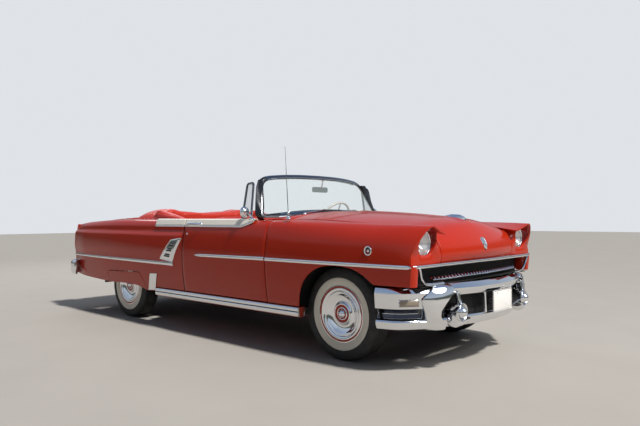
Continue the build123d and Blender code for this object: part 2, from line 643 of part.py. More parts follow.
def front_nose_block():
    """Solid end of the fender round the lamp, above the grille opening."""
    def section(x):
        _, _, waist, crease, crease_z, crest, crest_z, seam, seam_z = row_at(SIDE, x)
        points = [(seam, HOOD_LIP_Z, 0), (waist - 9, HOOD_LIP_Z, 4), (crease - 4, crease_z, 6),
                  (crest - 3, crest_z - 4, 0), (seam, seam_z - 4, 0)]
        return Plane.YZ.offset(x) * outline(points)
    return loft([section(x) for x in (NOSE_X - 290, NOSE_X - 115)], ruled=True)


def skirt_outline(inset):
    """Wheel opening of the rear quarter in side view, less an inset."""
    top, low = SKIRT_TOP_Z - inset, 300.0
    return [(REAR_AXLE_X - 268 + inset, low, 0), (REAR_AXLE_X + 542 - inset, low, 0),
            (REAR_AXLE_X + 502 - inset, 380, 0), (REAR_AXLE_X + 387 - inset, top, 0),
            (REAR_AXLE_X - 248 + inset, top, 14), (REAR_AXLE_X - 287 + inset, top - 36, 0)]


def rear_quarter():
    """Left rear quarter: cabin wall, side and top skin, end cap, pontoon and wheel house."""
    x1 = DOOR_REAR_X - DOOR_REAR_GAP
    wall = loft([wall_section(x, COWL_HALF) for x in (KICK_FRONT[1], x1)], ruled=True)
    skin = loft_along(skin_section, SIDE, LID_FRONT_X + SEAM, KICK_FRONT[1], seam_y=BOOT_HALF + SEAM)
    tail = loft_along(skin_section, SIDE, TAIL_END_X, LID_FRONT_X + SEAM, seam_y=LID_HALF + SEAM)
    quarter = wall + skin + tail + tail_cap() + pontoon()
    end = [(TAIL_X + 154, 1100), (TAIL_X + 140, 1000), (TAIL_X + 124, 922), (TAIL_END_X, WAIST_Z),
           (TAIL_X + 140, 406), (TAIL_X + 220, 385),
           (REAR_AXLE_X - 408, 380), (x1, 380), (x1, 1100)]
    quarter = quarter & side_prism(straight(end), 0, 1100)
    quarter -= side_prism(skirt_outline(0), 620, 1100)
    x, r, t = REAR_AXLE_X, HOUSE_R, HOUSE_THICKNESS
    house = arch_cut(x, TYRE_R, r, 606, 884, SILL_Z) - arch_cut(x, TYRE_R, r - t, 606 + t, 905, 0)
    house &= block(x - 900, x + 900, 0, 1000, 440, 1000)
    return quarter + (house - block(x - 900, x + 900, 855, 1000, 0, SKIRT_TOP_Z + 6))


def tail_cap():
    """Closed end of the quarter between the lid and the side, behind the lamp."""
    def section(x):
        _, _, waist, crease, crease_z, crest, crest_z, seam, seam_z = row_at(SIDE, x)
        low = LID_BOTTOM_Z - SEAM
        points = [(seam, low, 0), (side_y(x, low) - 2, low, 0), (waist - 2, WAIST_Z, 0),
                  (crease, crease_z, 0),
                  (crest, crest_z, 0), (seam, seam_z, 0)]
        return Plane.YZ.offset(x) * outline(points)
    return loft([section(x) for x in (TAIL_END_X, TAIL_END_X + 60)], ruled=True)


def pontoon():
    """Raised band along the quarter that rounds off behind the door."""
    def section(x, stand):
        _, _, waist, crease, _, _, _, _, _ = row_at(SIDE, x)
        points = [(waist - 20, 650, 0), (waist + 3, 650, 4), (waist + stand, 800, 6),
                  (crease + stand * 0.8, 915, 2),
                  (crease - 4, 928, 0), (crease - 25, 928, 0)]
        return Plane.YZ.offset(x) * outline(points)
    rows = [(TAIL_END_X, 7.0), (TAIL_X + 490, 8.0), (REAR_AXLE_X - 8, 8.0),
            (DOOR_REAR_X - DOOR_REAR_GAP, 8.0)]
    body = loft([section(x, stand) for x, stand in rows], ruled=True)
    return body & side_prism(straight([(TAIL_END_X, 600), (DOOR_REAR_X - 163, 600),
                                       (DOOR_REAR_X - 19, 880), (DOOR_REAR_X - 45, 940),
                                       (TAIL_END_X, 940)]), 0, 1100)


def fender_skirts():
    """Removable panels over the tops of the rear wheel openings, flush with the quarters."""
    skin = loft_along(skin_section, SIDE, REAR_AXLE_X - 408, REAR_AXLE_X + 592, seam_y=BOOT_HALF)
    shape = side_prism(skirt_outline(SEAT_GAP), 860, 1100)
    shape &= block(REAR_AXLE_X - 408, REAR_AXLE_X + 592, 860, 1100, SKIRT_BOTTOM_Z, 600)
    return both(skin & shape)


def deck():
    """Body panel between the top's cover and the trunk lid."""
    _, _, edge_z, centre_z = row_at(LID, LID_FRONT_X)
    half = BOOT_HALF
    points = [(-half, 1000, 0), (half, 1000, 0), (half, edge_z - 14, centre_z - edge_z + 14),
              (-half, edge_z - 14, 0)]
    panel = front_prism(points, LID_FRONT_X + SEAM, BOOT_REAR_X)
    floor = REAR_RAIL_TOP + FLOOR_THICKNESS
    wall = block(KICK_FRONT[1] - 20, KICK_FRONT[1], -SEAT_HALF, SEAT_HALF, floor, 1030)
    hinge_leaf = block(LID_FRONT_X + SEAT_GAP, LID_FRONT_X + SEAM, 300, 360, 1045, 1075)
    return panel + wall + both(hinge_leaf)


def rear_panel():
    """Panel below the trunk lid, with the lid's lower edge seat."""
    x = REAR_PANEL_X - SEAT_GAP
    return plan_prism([(x, -792, 0), (x, 792, 0), (x - 18, 792, 20), (x - 18, -792, 0)], 406,
                      LID_BOTTOM_Z - SEAM)


def hood():
    """Hood skin with its turned-down edges and the rounded nose."""
    x0 = HOOD_REAR_X
    outer = crown_form(HOOD, x0, HOOD_FRONT_X, 0, 40)
    inner = crown_form(HOOD, x0 + SHEET, HOOD_FRONT_X, SHEET, 60)
    nose = end_form(NOSE, x0 - 200, NOSE_HALF, 0)
    top = outer & (nose + block(x0 - 10, NOSE_X - 495, -END_REACH, END_REACH, 700, 1200))
    under = [(NOSE_X - 500, HOOD_LIP_Z), (NOSE_X, HOOD_LIP_Z), (NOSE_X, 1000), (NOSE_X - 500, 1100)]
    crown = crown_form(HOOD, x0, HOOD_FRONT_X, 0, 400)
    face = nose & crown & side_prism(straight(under), -NOSE_HALF, NOSE_HALF)
    half = NOSE_HALF - SHEET
    face -= (end_form(NOSE, x0, NOSE_HALF, SHEET) & crown_form(HOOD, x0, HOOD_FRONT_X, SHEET + SEAM, 500)
             & block(x0, NOSE_X, -half, half, 700, 1200))
    return top - inner + face


def trunk_lid():
    """Trunk lid with its turned-down edges and rounded tail."""
    x1 = LID_FRONT_X
    outer = crown_form(LID, LID_BACK_X, x1, 0, 40)
    inner = crown_form(LID, LID_BACK_X, x1 - SHEET, SHEET, 60)
    tail = end_form(LID_TAIL, x1 + 200, LID_HALF, 0)
    top = outer & (tail + block(TAIL_X + 235, x1 + 10, -END_REACH, END_REACH, 700, 1200))
    crown = crown_form(LID, LID_BACK_X, x1, 0, 600)
    face = tail & crown & block(LID_BACK_X, TAIL_X + 240, -LID_HALF, LID_HALF, LID_BOTTOM_Z, 1200)
    half = LID_HALF - SHEET
    face -= (end_form(LID_TAIL, x1, LID_HALF, SHEET) & crown_form(LID, LID_BACK_X, x1, SHEET + SEAM, 700)
             & block(TAIL_X - 80, x1, -half, half, 500, 1200))
    return top - inner + face


def hood_ornament():
    """Low winged ornament on the hood's centre line, of like sections."""
    tip, wing, point = NOSE_X - 500, NOSE_X - 420, NOSE_X - 300
    faces = []
    for x, half in ((tip, 10.0), (wing, 46.0), (point, 12.0)):
        z = row_at(HOOD, x)[3] + SEAT_GAP
        faces.append(Plane.YZ.offset(x) * outline(straight([(-half, z), (half, z),
                                                            (0, z + half * 0.65)])))
    return loft(faces, ruled=True)


def bumper_plan(plan, inset, depth):
    """Plan of a bumper bar: outer curve less an inset, inner curve a depth behind it."""
    (centre_x, _), shoulder, middle, end = plan
    ahead = 1 if centre_x > 0 else -1
    def curve(back):
        return ((shoulder[0] - ahead * back, shoulder[1]),
                (middle[0] - ahead * back * 0.75, middle[1] - back * 0.66),
                (end[0], end[1] - back), (centre_x - ahead * back, 0.0))
    s, m, e, c = curve(inset)
    s2, m2, e2, c2 = curve(inset + depth)
    def flip(point):
        return (point[0], -point[1])
    return make_face([ThreePointArc(flip(s), c, s), ThreePointArc(s, m, e), Line(e, e2),
                      ThreePointArc(e2, m2, s2),
                      ThreePointArc(s2, c2, flip(s2)), ThreePointArc(flip(s2), flip(m2), flip(e2)),
                      Line(flip(e2), flip(e)), ThreePointArc(flip(e), flip(m), flip(s))])


def bumper_bar(levels, plan, depth):
    """Bar from rows of z and inset."""
    faces = [Plane.XY.offset(z) * bumper_plan(plan, inset, depth) for z, inset in levels]
    return loft(faces, ruled=True)


def bumper_guard(rows, ahead, depth=60.0):
    """Upright guard from rows of z, x of face, inner y, outer y."""
    faces = []
    for z, x, inner, outer in rows:
        back = x - ahead * depth
        faces.append(Plane.XY.offset(z) * outline(straight([(x, inner), (x - ahead * 30, outer),
                                                            (back, outer), (back, inner)])))
    return loft(faces, ruled=True)


def front_bumper():
    """Upper and lower bars, two guards, fog lamp cups, plate bracket and irons."""
    upper = bumper_bar([(448.0, 12), (555.0, 0), (BUMPER_TOP_Z, 50)], FRONT_PLAN, 60.0)
    lower = bumper_bar([(300.0, 45), (330.0, 20), (368.0, 26)], FRONT_PLAN, 50.0)
    web = bumper_bar([(360.0, 80), (455.0, 80)], FRONT_PLAN, 20.0)
    web -= block(NOSE_X - 320, NOSE_X, -560, 560, 300, 500)
    guard = bumper_guard([(290.0, NOSE_X - 158, 535.0, 600.0), (340.0, NOSE_X - 120, 525.0, 640.0),
                          (450.0, NOSE_X - 100, 560.0, 640.0),
                          (BUMPER_TOP_Z - 4, NOSE_X - 108, 520.0, 640.0)], 1)
    cup = rod((NOSE_X - 200, FOG_Y, FOG_Z), (NOSE_X - 72, FOG_Y, FOG_Z), FOG_R)
    iron = block(NOSE_X - 260, NOSE_X - 160, RAIL_IN_Y, RAIL_OUT_Y, 350, 440)
    iron += block(NOSE_X - 200, NOSE_X - 60, RAIL_IN_Y, RAIL_OUT_Y, 345, 365)
    post = block(NOSE_X - 54, NOSE_X - 30, -20, 20, 330, 470)
    plate = block(NOSE_X - 8, NOSE_X, -150, 150, 372, 530)
    plate -= both(rod((NOSE_X - 20, PLATE_BOLT_SPACING / 2, 515),
                      (NOSE_X + 10, PLATE_BOLT_SPACING / 2, 515), PLATE_BOLT_R))
    bracket = block(NOSE_X - 50, NOSE_X - 4, -60, 60, 452, 500)
    return upper + lower + web + both(guard + cup + iron) + post + bracket + plate


def rear_bumper():
    """Bar round the tail with two guards and irons."""
    bar = bumper_bar([(400.0, 30), (440.0, 0), (540.0, 0), (575.0, 34)], REAR_PLAN, 42.0)
    guard = bumper_guard([(340.0, TAIL_X + 45, 480.0, 560.0), (420.0, TAIL_X + 8, 470.0, 575.0),
                          (560.0, TAIL_X + 6, 470.0, 575.0), (620.0, TAIL_X + 40, 485.0, 560.0)], -1)
    iron = block(TAIL_X + 30, TAIL_X + 180, RAIL_IN_Y, RAIL_OUT_Y, 340, 403)
    return bar + both(guard + iron)


def grille():
    """Lip moulding and the toothed bar across the grille opening."""
    z0 = HOOD_LIP_Z - SEAM
    lip = plan_prism([(NOSE_X - 220, -816, 0), (NOSE_X - 194, -816, 24), (NOSE_X - 194, 816, 0),
                      (NOSE_X - 220, 816, -24)], z0 - 18, z0)
    back, face = NOSE_X - 228, NOSE_X - 196
    bar = side_prism([(back, 632, 0), (face, 632, 4), (face, 660, 0), (back, 660, 0)], -GRILLE_HALF,
                     GRILLE_HALF)
    for i in range(TOOTH_COUNT):
        y = (i - (TOOTH_COUNT - 1) / 2) * TOOTH_PITCH
        bar += side_prism(straight([(NOSE_X - 198, 628), (NOSE_X - 182, 632), (NOSE_X - 176, 650),
                                    (NOSE_X - 198, 664)]), y - 9, y + 9)
    ends = both(block(NOSE_X - 240, NOSE_X - 204, GRILLE_HALF, 556, BUMPER_TOP_Z + 14, z0 - 18))
    return lip + bar + ends


def radiator_support():
    """Panel behind the grille, the pan under it, and the radiator core between."""
    wall = block(NOSE_X - 420, NOSE_X - 396, -800, 800, FRONT_RAIL_TOP + SEAT_GAP, 730 - SEAT_GAP)
    core = block(NOSE_X - 460, NOSE_X - 420, -330, 330, 470, 940)
    pan = block(NOSE_X - 396, NOSE_X - 200, -800, 800, BUMPER_TOP_Z + 2, BUMPER_TOP_Z + 14)
    return wall + core + pan


def lamps():
    """Headlamps, fog lamps and parking lamps."""
    head = Pos(LAMP_FACE_X, LAMP_Y, LAMP_Z) * Rot(0, 90, 0) * Cylinder(LAMP_R, 50)
    from_base = (Align.CENTER, Align.CENTER, Align.MIN)
    dome = Pos(LAMP_FACE_X + 24, LAMP_Y, LAMP_Z) * Rot(0, 90, 0) * Cone(LAMP_R - 6, 40, 18, align=from_base)
    fog = rod((NOSE_X - 72, FOG_Y, FOG_Z), (NOSE_X - 60, FOG_Y, FOG_Z), FOG_R - 8)
    return both(head + dome + fog)


def tail_lamps():
    """Upright lamps at the ends of the rear fenders."""
    points = [(TAIL_X + 120.7, 800), (TAIL_X + 123.2, 922), (TAIL_X + 138.5, 998), (TAIL_X + 118, 987),
              (TAIL_X + 96, 930), (TAIL_X + 94, 870), (TAIL_X + 102, 800)]
    return both(side_prism(straight(points), 770, 838))


def bright_trim():
    """Mouldings, belt strips, quarter ornaments and stone guards that stay on the body."""
    front = loft([section_strip(x, WAIST_Z)
                  for x in stations(SIDE, DOOR_FRONT_X + DOOR_FRONT_GAP + 2, NOSE_X - 216)],
                 ruled=True)
    quarter = loft([section_strip(x, QUARTER_TRIM_Z)
                    for x in (TAIL_END_X + 20, TAIL_X + 490, REAR_AXLE_X - 8,
                              DOOR_REAR_X - 185)], ruled=True)
    def sill_y(z):
        share = (z - ROCKER_BOTTOM_Z) / (ROCKER_TOP_Z - ROCKER_BOTTOM_Z)
        return ROCKER_LOW_Y + (ROCKER_TOP_Y - ROCKER_LOW_Y) * share
    rocker = front_prism(straight([(sill_y(304) + TRIM_GAP, 304), (933, 312), (931, 366),
                                   (sill_y(372) + TRIM_GAP, 372)]), SILL_REAR_X + 9, SILL_FRONT_X - 2)
    guard = side_patch(straight([(REAR_AXLE_X + 592, 392), (REAR_AXLE_X + 656, 392),
                                 (REAR_AXLE_X + 717, 522),
                                 (REAR_AXLE_X + 652, 524)]), TRIM_GAP, TRIM_STAND)
    strip = side_patch(straight([(DOOR_REAR_X - 487, 990), (DOOR_REAR_X - DOOR_REAR_GAP - 2, 990),
                                 (DOOR_REAR_X - DOOR_REAR_GAP - 2, 1043),
                                 (DOOR_REAR_X - 487, 1043)]), TRIM_GAP, TRIM_STAND)
    vent = side_patch(straight([(DOOR_REAR_X - 381, 678), (DOOR_REAR_X - 175, 655),
                                (DOOR_REAR_X - 35, 880), (DOOR_REAR_X - 157, 870)]), 13.0, 18.0)
    return both(front + quarter + rocker + guard + strip + vent)


def antenna():
    """Whip antenna on the right front fender."""
    x, y = FIREWALL_X - 38, 862.0
    z = top_z(x, y) + 3 * SEAT_GAP
    return Pos(x, -y, z + 20) * Cylinder(16, 40) + rod((x, -y, z + 20), (x - 36, -y, 1640), 2.5)


def front_seat():
    """Bench with its back, on two runners."""
    x = FRONT_SEAT_X
    cushion = side_prism([(x + 130, 500, 0), (x + 630, 520, 12), (x + 650, 600, 30), (x + 150, 590, 0)],
                         -700, 700)
    back = side_prism([(x + 130, 500, 0), (x + 150, 590, 0), (x + 190, 640, -10), (x + 110, 1100, 20),
                       (x + 30, 1100, 0), (x, 640, 0)], -700, 700)
    base = both(block(x + 190, x + 550, 420, 470, MID_RAIL_TOP + FLOOR_THICKNESS, 515))
    return cushion + back + base


def rear_seat():
    """Bench over the kick-up, with its back against the wall behind it."""
    floor = MID_RAIL_TOP + FLOOR_THICKNESS
    x, kick = REAR_SEAT_X, KICK_FRONT[0]
    cushion = side_prism([(kick + 10, floor, 0), (x, floor, 0), (x + 20, 560, 20), (kick + 10, 540, 0)],
                         -770, 770)
    cushion -= rod((kick - 60, 0, MID_RAIL_TOP - 20), (x + 200, 0, MID_RAIL_TOP - 20), TUNNEL_R + 3)
    cushion -= side_prism(straight([(kick, 300), (kick, floor), (kick - 160, 560), (kick - 160, 300)]),
                          -800, 800)
    wall_x = KICK_FRONT[1] + 18
    back = side_prism([(wall_x, 566, 0), (kick + 20, 520, 0), (kick - 30, 1060, 10), (wall_x, 1060, 0)],
                      -SEAT_HALF, SEAT_HALF)
    return cushion + back


def top_cover():
    """Cover over the folded top: a padded U that wraps the rear seat."""
    front = KICK_FRONT[1] - 20 - SEAT_GAP
    rows = ((BOOT_REAR_X + SEAT_GAP, 1050, 1064, 4), (BOOT_REAR_X + 75, 1062, 1128, 14),
            (BOOT_REAR_X + 160, 1070, 1164, 16), (BOOT_REAR_X + 260, 1074, 1180, 16),
            (front - 100, 1072, 1174, 16), (front, 1070, 1166, 14))
    half = BOOT_HALF + SEAM - SEAT_GAP
    main = loft([Plane.YZ.offset(x) * outline([(-half, 1000, 0), (half, 1000, 0), (half, edge, 16),
                                               (half - 90, top, crown), (90 - half, top, 16),
                                               (-half, edge, 0)])
                 for x, edge, top, crown in rows], ruled=True)
    return main + both(cover_wing())


def cover_wing():
    """Tapering arm of the cover, forward along the cabin wall beside the rear seat."""
    x0, x1 = KICK_FRONT[1] - 20 - SEAT_GAP, KICK_FRONT[1] + WING_LENGTH
    outer = BOOT_HALF + SEAM - SEAT_GAP
    faces = []
    for x, inner, edge, y, top in ((x0 - 60, SEAT_HALF + 8, 1070, 655, 1166),
                                   (x0 + 150, SEAT_HALF + 12, 1068, 660, 1144),
                                   (x1 - 150, SEAT_HALF + 38, 1062, 690, 1106),
                                   (x1, SEAT_HALF + 72, 1046, 710, 1066)):
        faces.append(Plane.YZ.offset(x) * outline([(inner, 986, 0), (outer, 986, 0), (outer, edge, 8),
                                                   (y, top, 4), (inner, top - 24, 0)]))
    return loft(faces, ruled=True)


def engine():
    """Plain engine and gearbox masses on the frame."""
    block_part = block(FIREWALL_X + 68, FIREWALL_X + 748, -300, 300, 452, 900)
    sump = block(FIREWALL_X + 68, FIREWALL_X + 308, -160, 160, 260, 452)
    gearbox = rod((FIREWALL_X - 502, 0, 330), (FIREWALL_X + 68, 0, 330), 105)
    mounts = block(FIREWALL_X + 588, FIREWALL_X + 668, -RAIL_IN_Y - 30, RAIL_IN_Y + 30, FRONT_RAIL_TOP,
                   FRONT_RAIL_TOP + 40)
    return block_part + sump + gearbox + mounts


def rear_axle():
    """Axle tube, differential, leaf springs and propeller shaft."""
    x, z = REAR_AXLE_X, TYRE_R
    tube = rod((x, -REAR_WHEEL_Y + 80, z), (x, REAR_WHEEL_Y - 80, z), 38)
    stubs = rod((x, -REAR_WHEEL_Y - 15, z), (x, REAR_WHEEL_Y + 15, z), SPINDLE_R)
    housing = Pos(x, 0, z) * Rot(0, 90, 0) * Cylinder(135, 200)
    shaft = rod((x + 90, 0, z), (FIREWALL_X - 503, 0, 330), 34)
    spring = side_prism([(x - 668, 390, 70), (x + 672, 250, 0), (x + 672, 270, -70), (x - 668, 414, 0)],
                        RAIL_OUT_Y + 8, RAIL_OUT_Y + 68)
    clamp = block(x - 50, x + 50, RAIL_OUT_Y + 4, RAIL_OUT_Y + 72, 240, z)
    return tube + stubs + housing + shaft + both(spring + clamp)


def exhaust():
    """Pipe and muffler under the floor."""
    y, z = 260, 303
    route = [(FIREWALL_X + 38, y, z + 27), (FIREWALL_X - 262, y, z), (KICK_FRONT[0] - 30, y, z),
             (REAR_AXLE_X + 282, y, 440), (REAR_AXLE_X - 308, y, 440), (REAR_AXLE_X - 568, y + 60, 290),
             (TAIL_X + 80, y + 60, 290)]
    path = Polyline(*route)
    pipe = sweep(Plane(path @ 0, z_dir=path % 0) * Circle(24), path=path, transition=Transition.RIGHT)
    return pipe + rod((FIREWALL_X - 862, y, 280), (FIREWALL_X - 1562, y, 280), 60)


def fuel_tank():
    return fillet(block(TAIL_X + 250, TAIL_X + 720, -350, 240, 245,
                        TAIL_RAIL_TOP).edges().filter_by(Axis.Y), 30)


def build():
    """Every node by name."""
    nodes = {
        "chassis_frame": chassis_frame(), "body_floor": body_floor(), "cowl": cowl(),
        "front_suspension": front_suspension(), "rear_axle": rear_axle(), "engine": engine(),
        "exhaust": exhaust(), "fuel_tank": fuel_tank(), "radiator_support": radiator_support(),
        "grille": grille(), "front_bumper": front_bumper(), "rear_bumper": rear_bumper(),
        "lamps": lamps(),
        "tail_lamps": tail_lamps(), "bright_trim": bright_trim(), "antenna": antenna(), "deck": deck(),
        "rear_panel": rear_panel(), "fender_skirts": fender_skirts(), "dashboard": dashboard(),
        "front_seat": front_seat(), "rear_seat": rear_seat(), "top_cover": top_cover(),
        "steering_column": steering_column(), "steering_wheel": steering_wheel(),
        "track_rod": track_rod(),
        "hood": hood(), "hood_ornament": hood_ornament(), "trunk_lid": trunk_lid(),
    }
    nodes["windshield_frame"], nodes["windshield_glass"] = windshield()
    for name, make in (("front_fender", front_fender), ("rear_quarter", rear_quarter), ("door", door),
                       ("door_trim", door_trim), ("vent_glass", lambda: vent_pane(-SEAT_GAP, 6.0)),
                       ("knuckle", knuckle)):
        piece = make()
        nodes[f"{name}_left"], nodes[f"{name}_right"] = piece, right(piece)
    for end, x, y in (("front", FRONT_AXLE_X, FRONT_WHEEL_Y), ("rear", REAR_AXLE_X, REAR_WHEEL_Y)):
        for side, sign in (("left", 1), ("right", -1)):
            tyre, wheel = wheel_parts(x, sign * y, sign)
            nodes[f"tyre_{end}_{side}"], nodes[f"wheel_{end}_{side}"] = tyre, wheel
    return nodes


os.makedirs("parts", exist_ok=True)
for name, piece in build().items():
    export_step(piece, f"parts/{name}.step")
    print(name, len(piece.solids()), round(piece.volume / 1e6, 2))
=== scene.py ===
from math import atan2, cos, hypot, pi, radians, sin, sqrt

import bmesh
import bpy
import numpy as np
from mathutils import Matrix, Vector, noise
from mathutils.bvhtree import BVHTree


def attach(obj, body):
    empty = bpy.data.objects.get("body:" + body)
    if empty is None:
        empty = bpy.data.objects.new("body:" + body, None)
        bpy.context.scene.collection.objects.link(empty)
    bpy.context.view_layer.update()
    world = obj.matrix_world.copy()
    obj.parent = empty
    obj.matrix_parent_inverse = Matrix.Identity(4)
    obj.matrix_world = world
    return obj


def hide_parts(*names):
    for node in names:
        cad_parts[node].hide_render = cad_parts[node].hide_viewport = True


# Looks of a two-door 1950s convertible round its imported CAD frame.
# Metres, +X forward, +Y the car's left, +Z up. Left pieces are built and mirrored to the right.

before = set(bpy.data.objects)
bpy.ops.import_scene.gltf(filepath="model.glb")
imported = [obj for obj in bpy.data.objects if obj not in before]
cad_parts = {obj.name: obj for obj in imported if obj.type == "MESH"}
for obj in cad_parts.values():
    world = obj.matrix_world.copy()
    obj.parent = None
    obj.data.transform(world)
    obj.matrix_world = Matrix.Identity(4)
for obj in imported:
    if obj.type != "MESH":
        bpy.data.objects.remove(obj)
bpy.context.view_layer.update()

FRONT_AXLE = 1.731
REAR_AXLE = -1.292
WHEEL_Z = 0.35
FRONT_WHEEL_Y = 0.7365
REAR_WHEEL_Y = 0.7495
TAIL_X = -2.5
SILL_Z = 0.385
WAIST_Z = 0.735
DOOR_FRONT = 1.040
DOOR_REAR = -0.105
FENDER_REAR = 1.049
QUARTER_FRONT = -0.112
FENDER_LOW = 0.604
DOOR_SEAM_Y = 0.806
DOOR_INNER_Y = 0.802
DOOR_PANEL_Y = 0.7995
LID_SEAM_Y = 0.566
DECK_SEAM_Y = 0.746
CABIN_SEAM_Y = 0.795
CABIN_WALL_Y = 0.794
DECK_REAR = -1.494
CABIN_REAR = -0.885
QUARTER_LOW = 0.386
TAIL_LOW = 0.634
LAMP = (2.400, 0.740, 0.890)
SHEET = 0.010
ORIGIN = (0, 0, 0)
DOOR_BODIES = ("door_body_left", "door_body_right")
SAME_BODY = ("body", "body")

# Body side by station: x, y of sill, waist and crease, z of crease, y and z of crest, y and z of seam.
SIDE = [
    (-2.500, 0.838, 0.862, 0.852, 0.925, 0.815, 1.004, 0.566, 1.012),
    (-2.130, 0.885, 0.915, 0.903, 0.928, 0.868, 1.028, 0.566, 1.050),
    (-1.300, 0.915, 0.948, 0.934, 0.930, 0.895, 1.055, 0.566, 1.078),
    (-0.105, 0.925, 0.957, 0.936, 0.930, 0.900, 1.048, 0.800, 1.048),
    (1.040, 0.925, 0.957, 0.936, 0.930, 0.892, 1.046, 0.646, 1.058),
    (1.700, 0.925, 0.957, 0.932, 0.930, 0.850, 1.036, 0.636, 1.030),
    (2.020, 0.915, 0.950, 0.925, 0.928, 0.818, 1.031, 0.611, 1.003),
    (2.310, 0.897, 0.932, 0.905, 0.918, 0.800, 1.028, 0.581, 0.975),
    (2.520, 0.878, 0.905, 0.872, 0.900, 0.780, 1.024, 0.560, 0.945),
]
# Hood outline from the cowl to its lip: x and z at the middle, x, z and half width at the seam.
HOOD = [
    (1.290, 1.124, 1.290, 1.056, 0.640), (1.700, 1.104, 1.700, 1.031, 0.630),
    (2.060, 1.076, 2.050, 0.999, 0.603), (2.270, 1.052, 2.250, 0.977, 0.582),
    (2.360, 1.018, 2.335, 0.956, 0.571), (2.425, 0.950, 2.385, 0.925, 0.563),
    (2.470, 0.870, 2.420, 0.870, 0.558), (2.480, 0.800, 2.432, 0.800, 0.556),
    (2.452, 0.744, 2.424, 0.744, 0.553),
]
LID = [
    (-1.500, 1.106, -1.500, 1.077, 0.560), (-1.850, 1.092, -1.850, 1.067, 0.560),
    (-2.200, 1.064, -2.200, 1.045, 0.560), (-2.380, 1.040, -2.360, 1.022, 0.560),
    (-2.460, 1.000, -2.432, 0.990, 0.560), (-2.500, 0.920, -2.475, 0.920, 0.560),
    (-2.514, 0.820, -2.490, 0.820, 0.560), (-2.508, 0.642, -2.486, 0.642, 0.560),
]


def spline(table, x):
    """Row of a table at x by a smooth curve through its rows."""
    xs = [row[0] for row in table]
    i = max(0, min(len(xs) - 2, int(np.searchsorted(xs, x)) - 1))
    h = xs[i + 1] - xs[i]
    t = (x - xs[i]) / h
    out = []
    for k in range(len(table[0])):
        a, b = table[i][k], table[i + 1][k]
        slope = (b - a) / h

        def tangent(j):
            if j <= 0 or j >= len(xs) - 1:
                return slope
            before = (table[j][k] - table[j - 1][k]) / (xs[j] - xs[j - 1])
            after = (table[j + 1][k] - table[j][k]) / (xs[j + 1] - xs[j])
            return 0.0 if before * after <= 0 else 2 * before * after / (before + after)

        m0, m1 = tangent(i) * h, tangent(i + 1) * h
        if t < 0 or t > 1:
            out.append(a + (b - a) * t)
            continue
        out.append((2 * t ** 3 - 3 * t ** 2 + 1) * a + (t ** 3 - 2 * t ** 2 + t) * m0
                   + (3 * t ** 2 - 2 * t ** 3) * b + (t ** 3 - t ** 2) * m1)
    return out


def curve_through(points, count, closed=False):
    """Evenly spaced points on a smooth curve through the given ones."""
    p = [np.array(q, float) for q in points]
    n = len(p)
    spans = n if closed else n - 1
    dense = []
    for i in range(spans):
        p1, p2 = p[i], p[(i + 1) % n]
        p0 = p[i - 1] if closed or i > 0 else 2 * p1 - p2
        p3 = p[(i + 2) % n] if closed or i + 2 < n else 2 * p2 - p1
        d1 = max(np.linalg.norm(p2 - p1), 1e-6)
        d0 = max(np.linalg.norm(p1 - p0), 1e-6)
        d2 = max(np.linalg.norm(p3 - p2), 1e-6)
        m1 = ((p2 - p1) / d1 * d0 + (p1 - p0) / d0 * d1) / (d0 + d1) * d1
        m2 = ((p3 - p2) / d2 * d1 + (p2 - p1) / d1 * d2) / (d1 + d2) * d1
        for t in np.linspace(0, 1, 16, endpoint=False):
            dense.append((2 * t ** 3 - 3 * t ** 2 + 1) * p1 + (t ** 3 - 2 * t ** 2 + t) * m1
                         + (3 * t ** 2 - 2 * t ** 3) * p2 + (t ** 3 - t ** 2) * m2)
    dense.append(p[0] if closed else p[-1])
    dense = np.array(dense)
    length = np.concatenate([[0], np.cumsum(np.linalg.norm(np.diff(dense, axis=0), axis=1))])
    want = np.linspace(0, length[-1], count + 1)[:-1] if closed else np.linspace(0, length[-1], count)
    return np.array([[np.interp(w, length, dense[:, k]) for k in range(dense.shape[1])] for w in want])


def at_x(points, x):
    """Second coordinate at x on straight spans between points, the end values beyond them."""
    return float(np.interp(x, [p[0] for p in points], [p[1] for p in points]))


def step(a, b, x):
    """Smooth rise from 0 at a to 1 at b."""
    t = min(1.0, max(0.0, (x - a) / (b - a)))
    return t * t * (3 - 2 * t)


# Mesh building


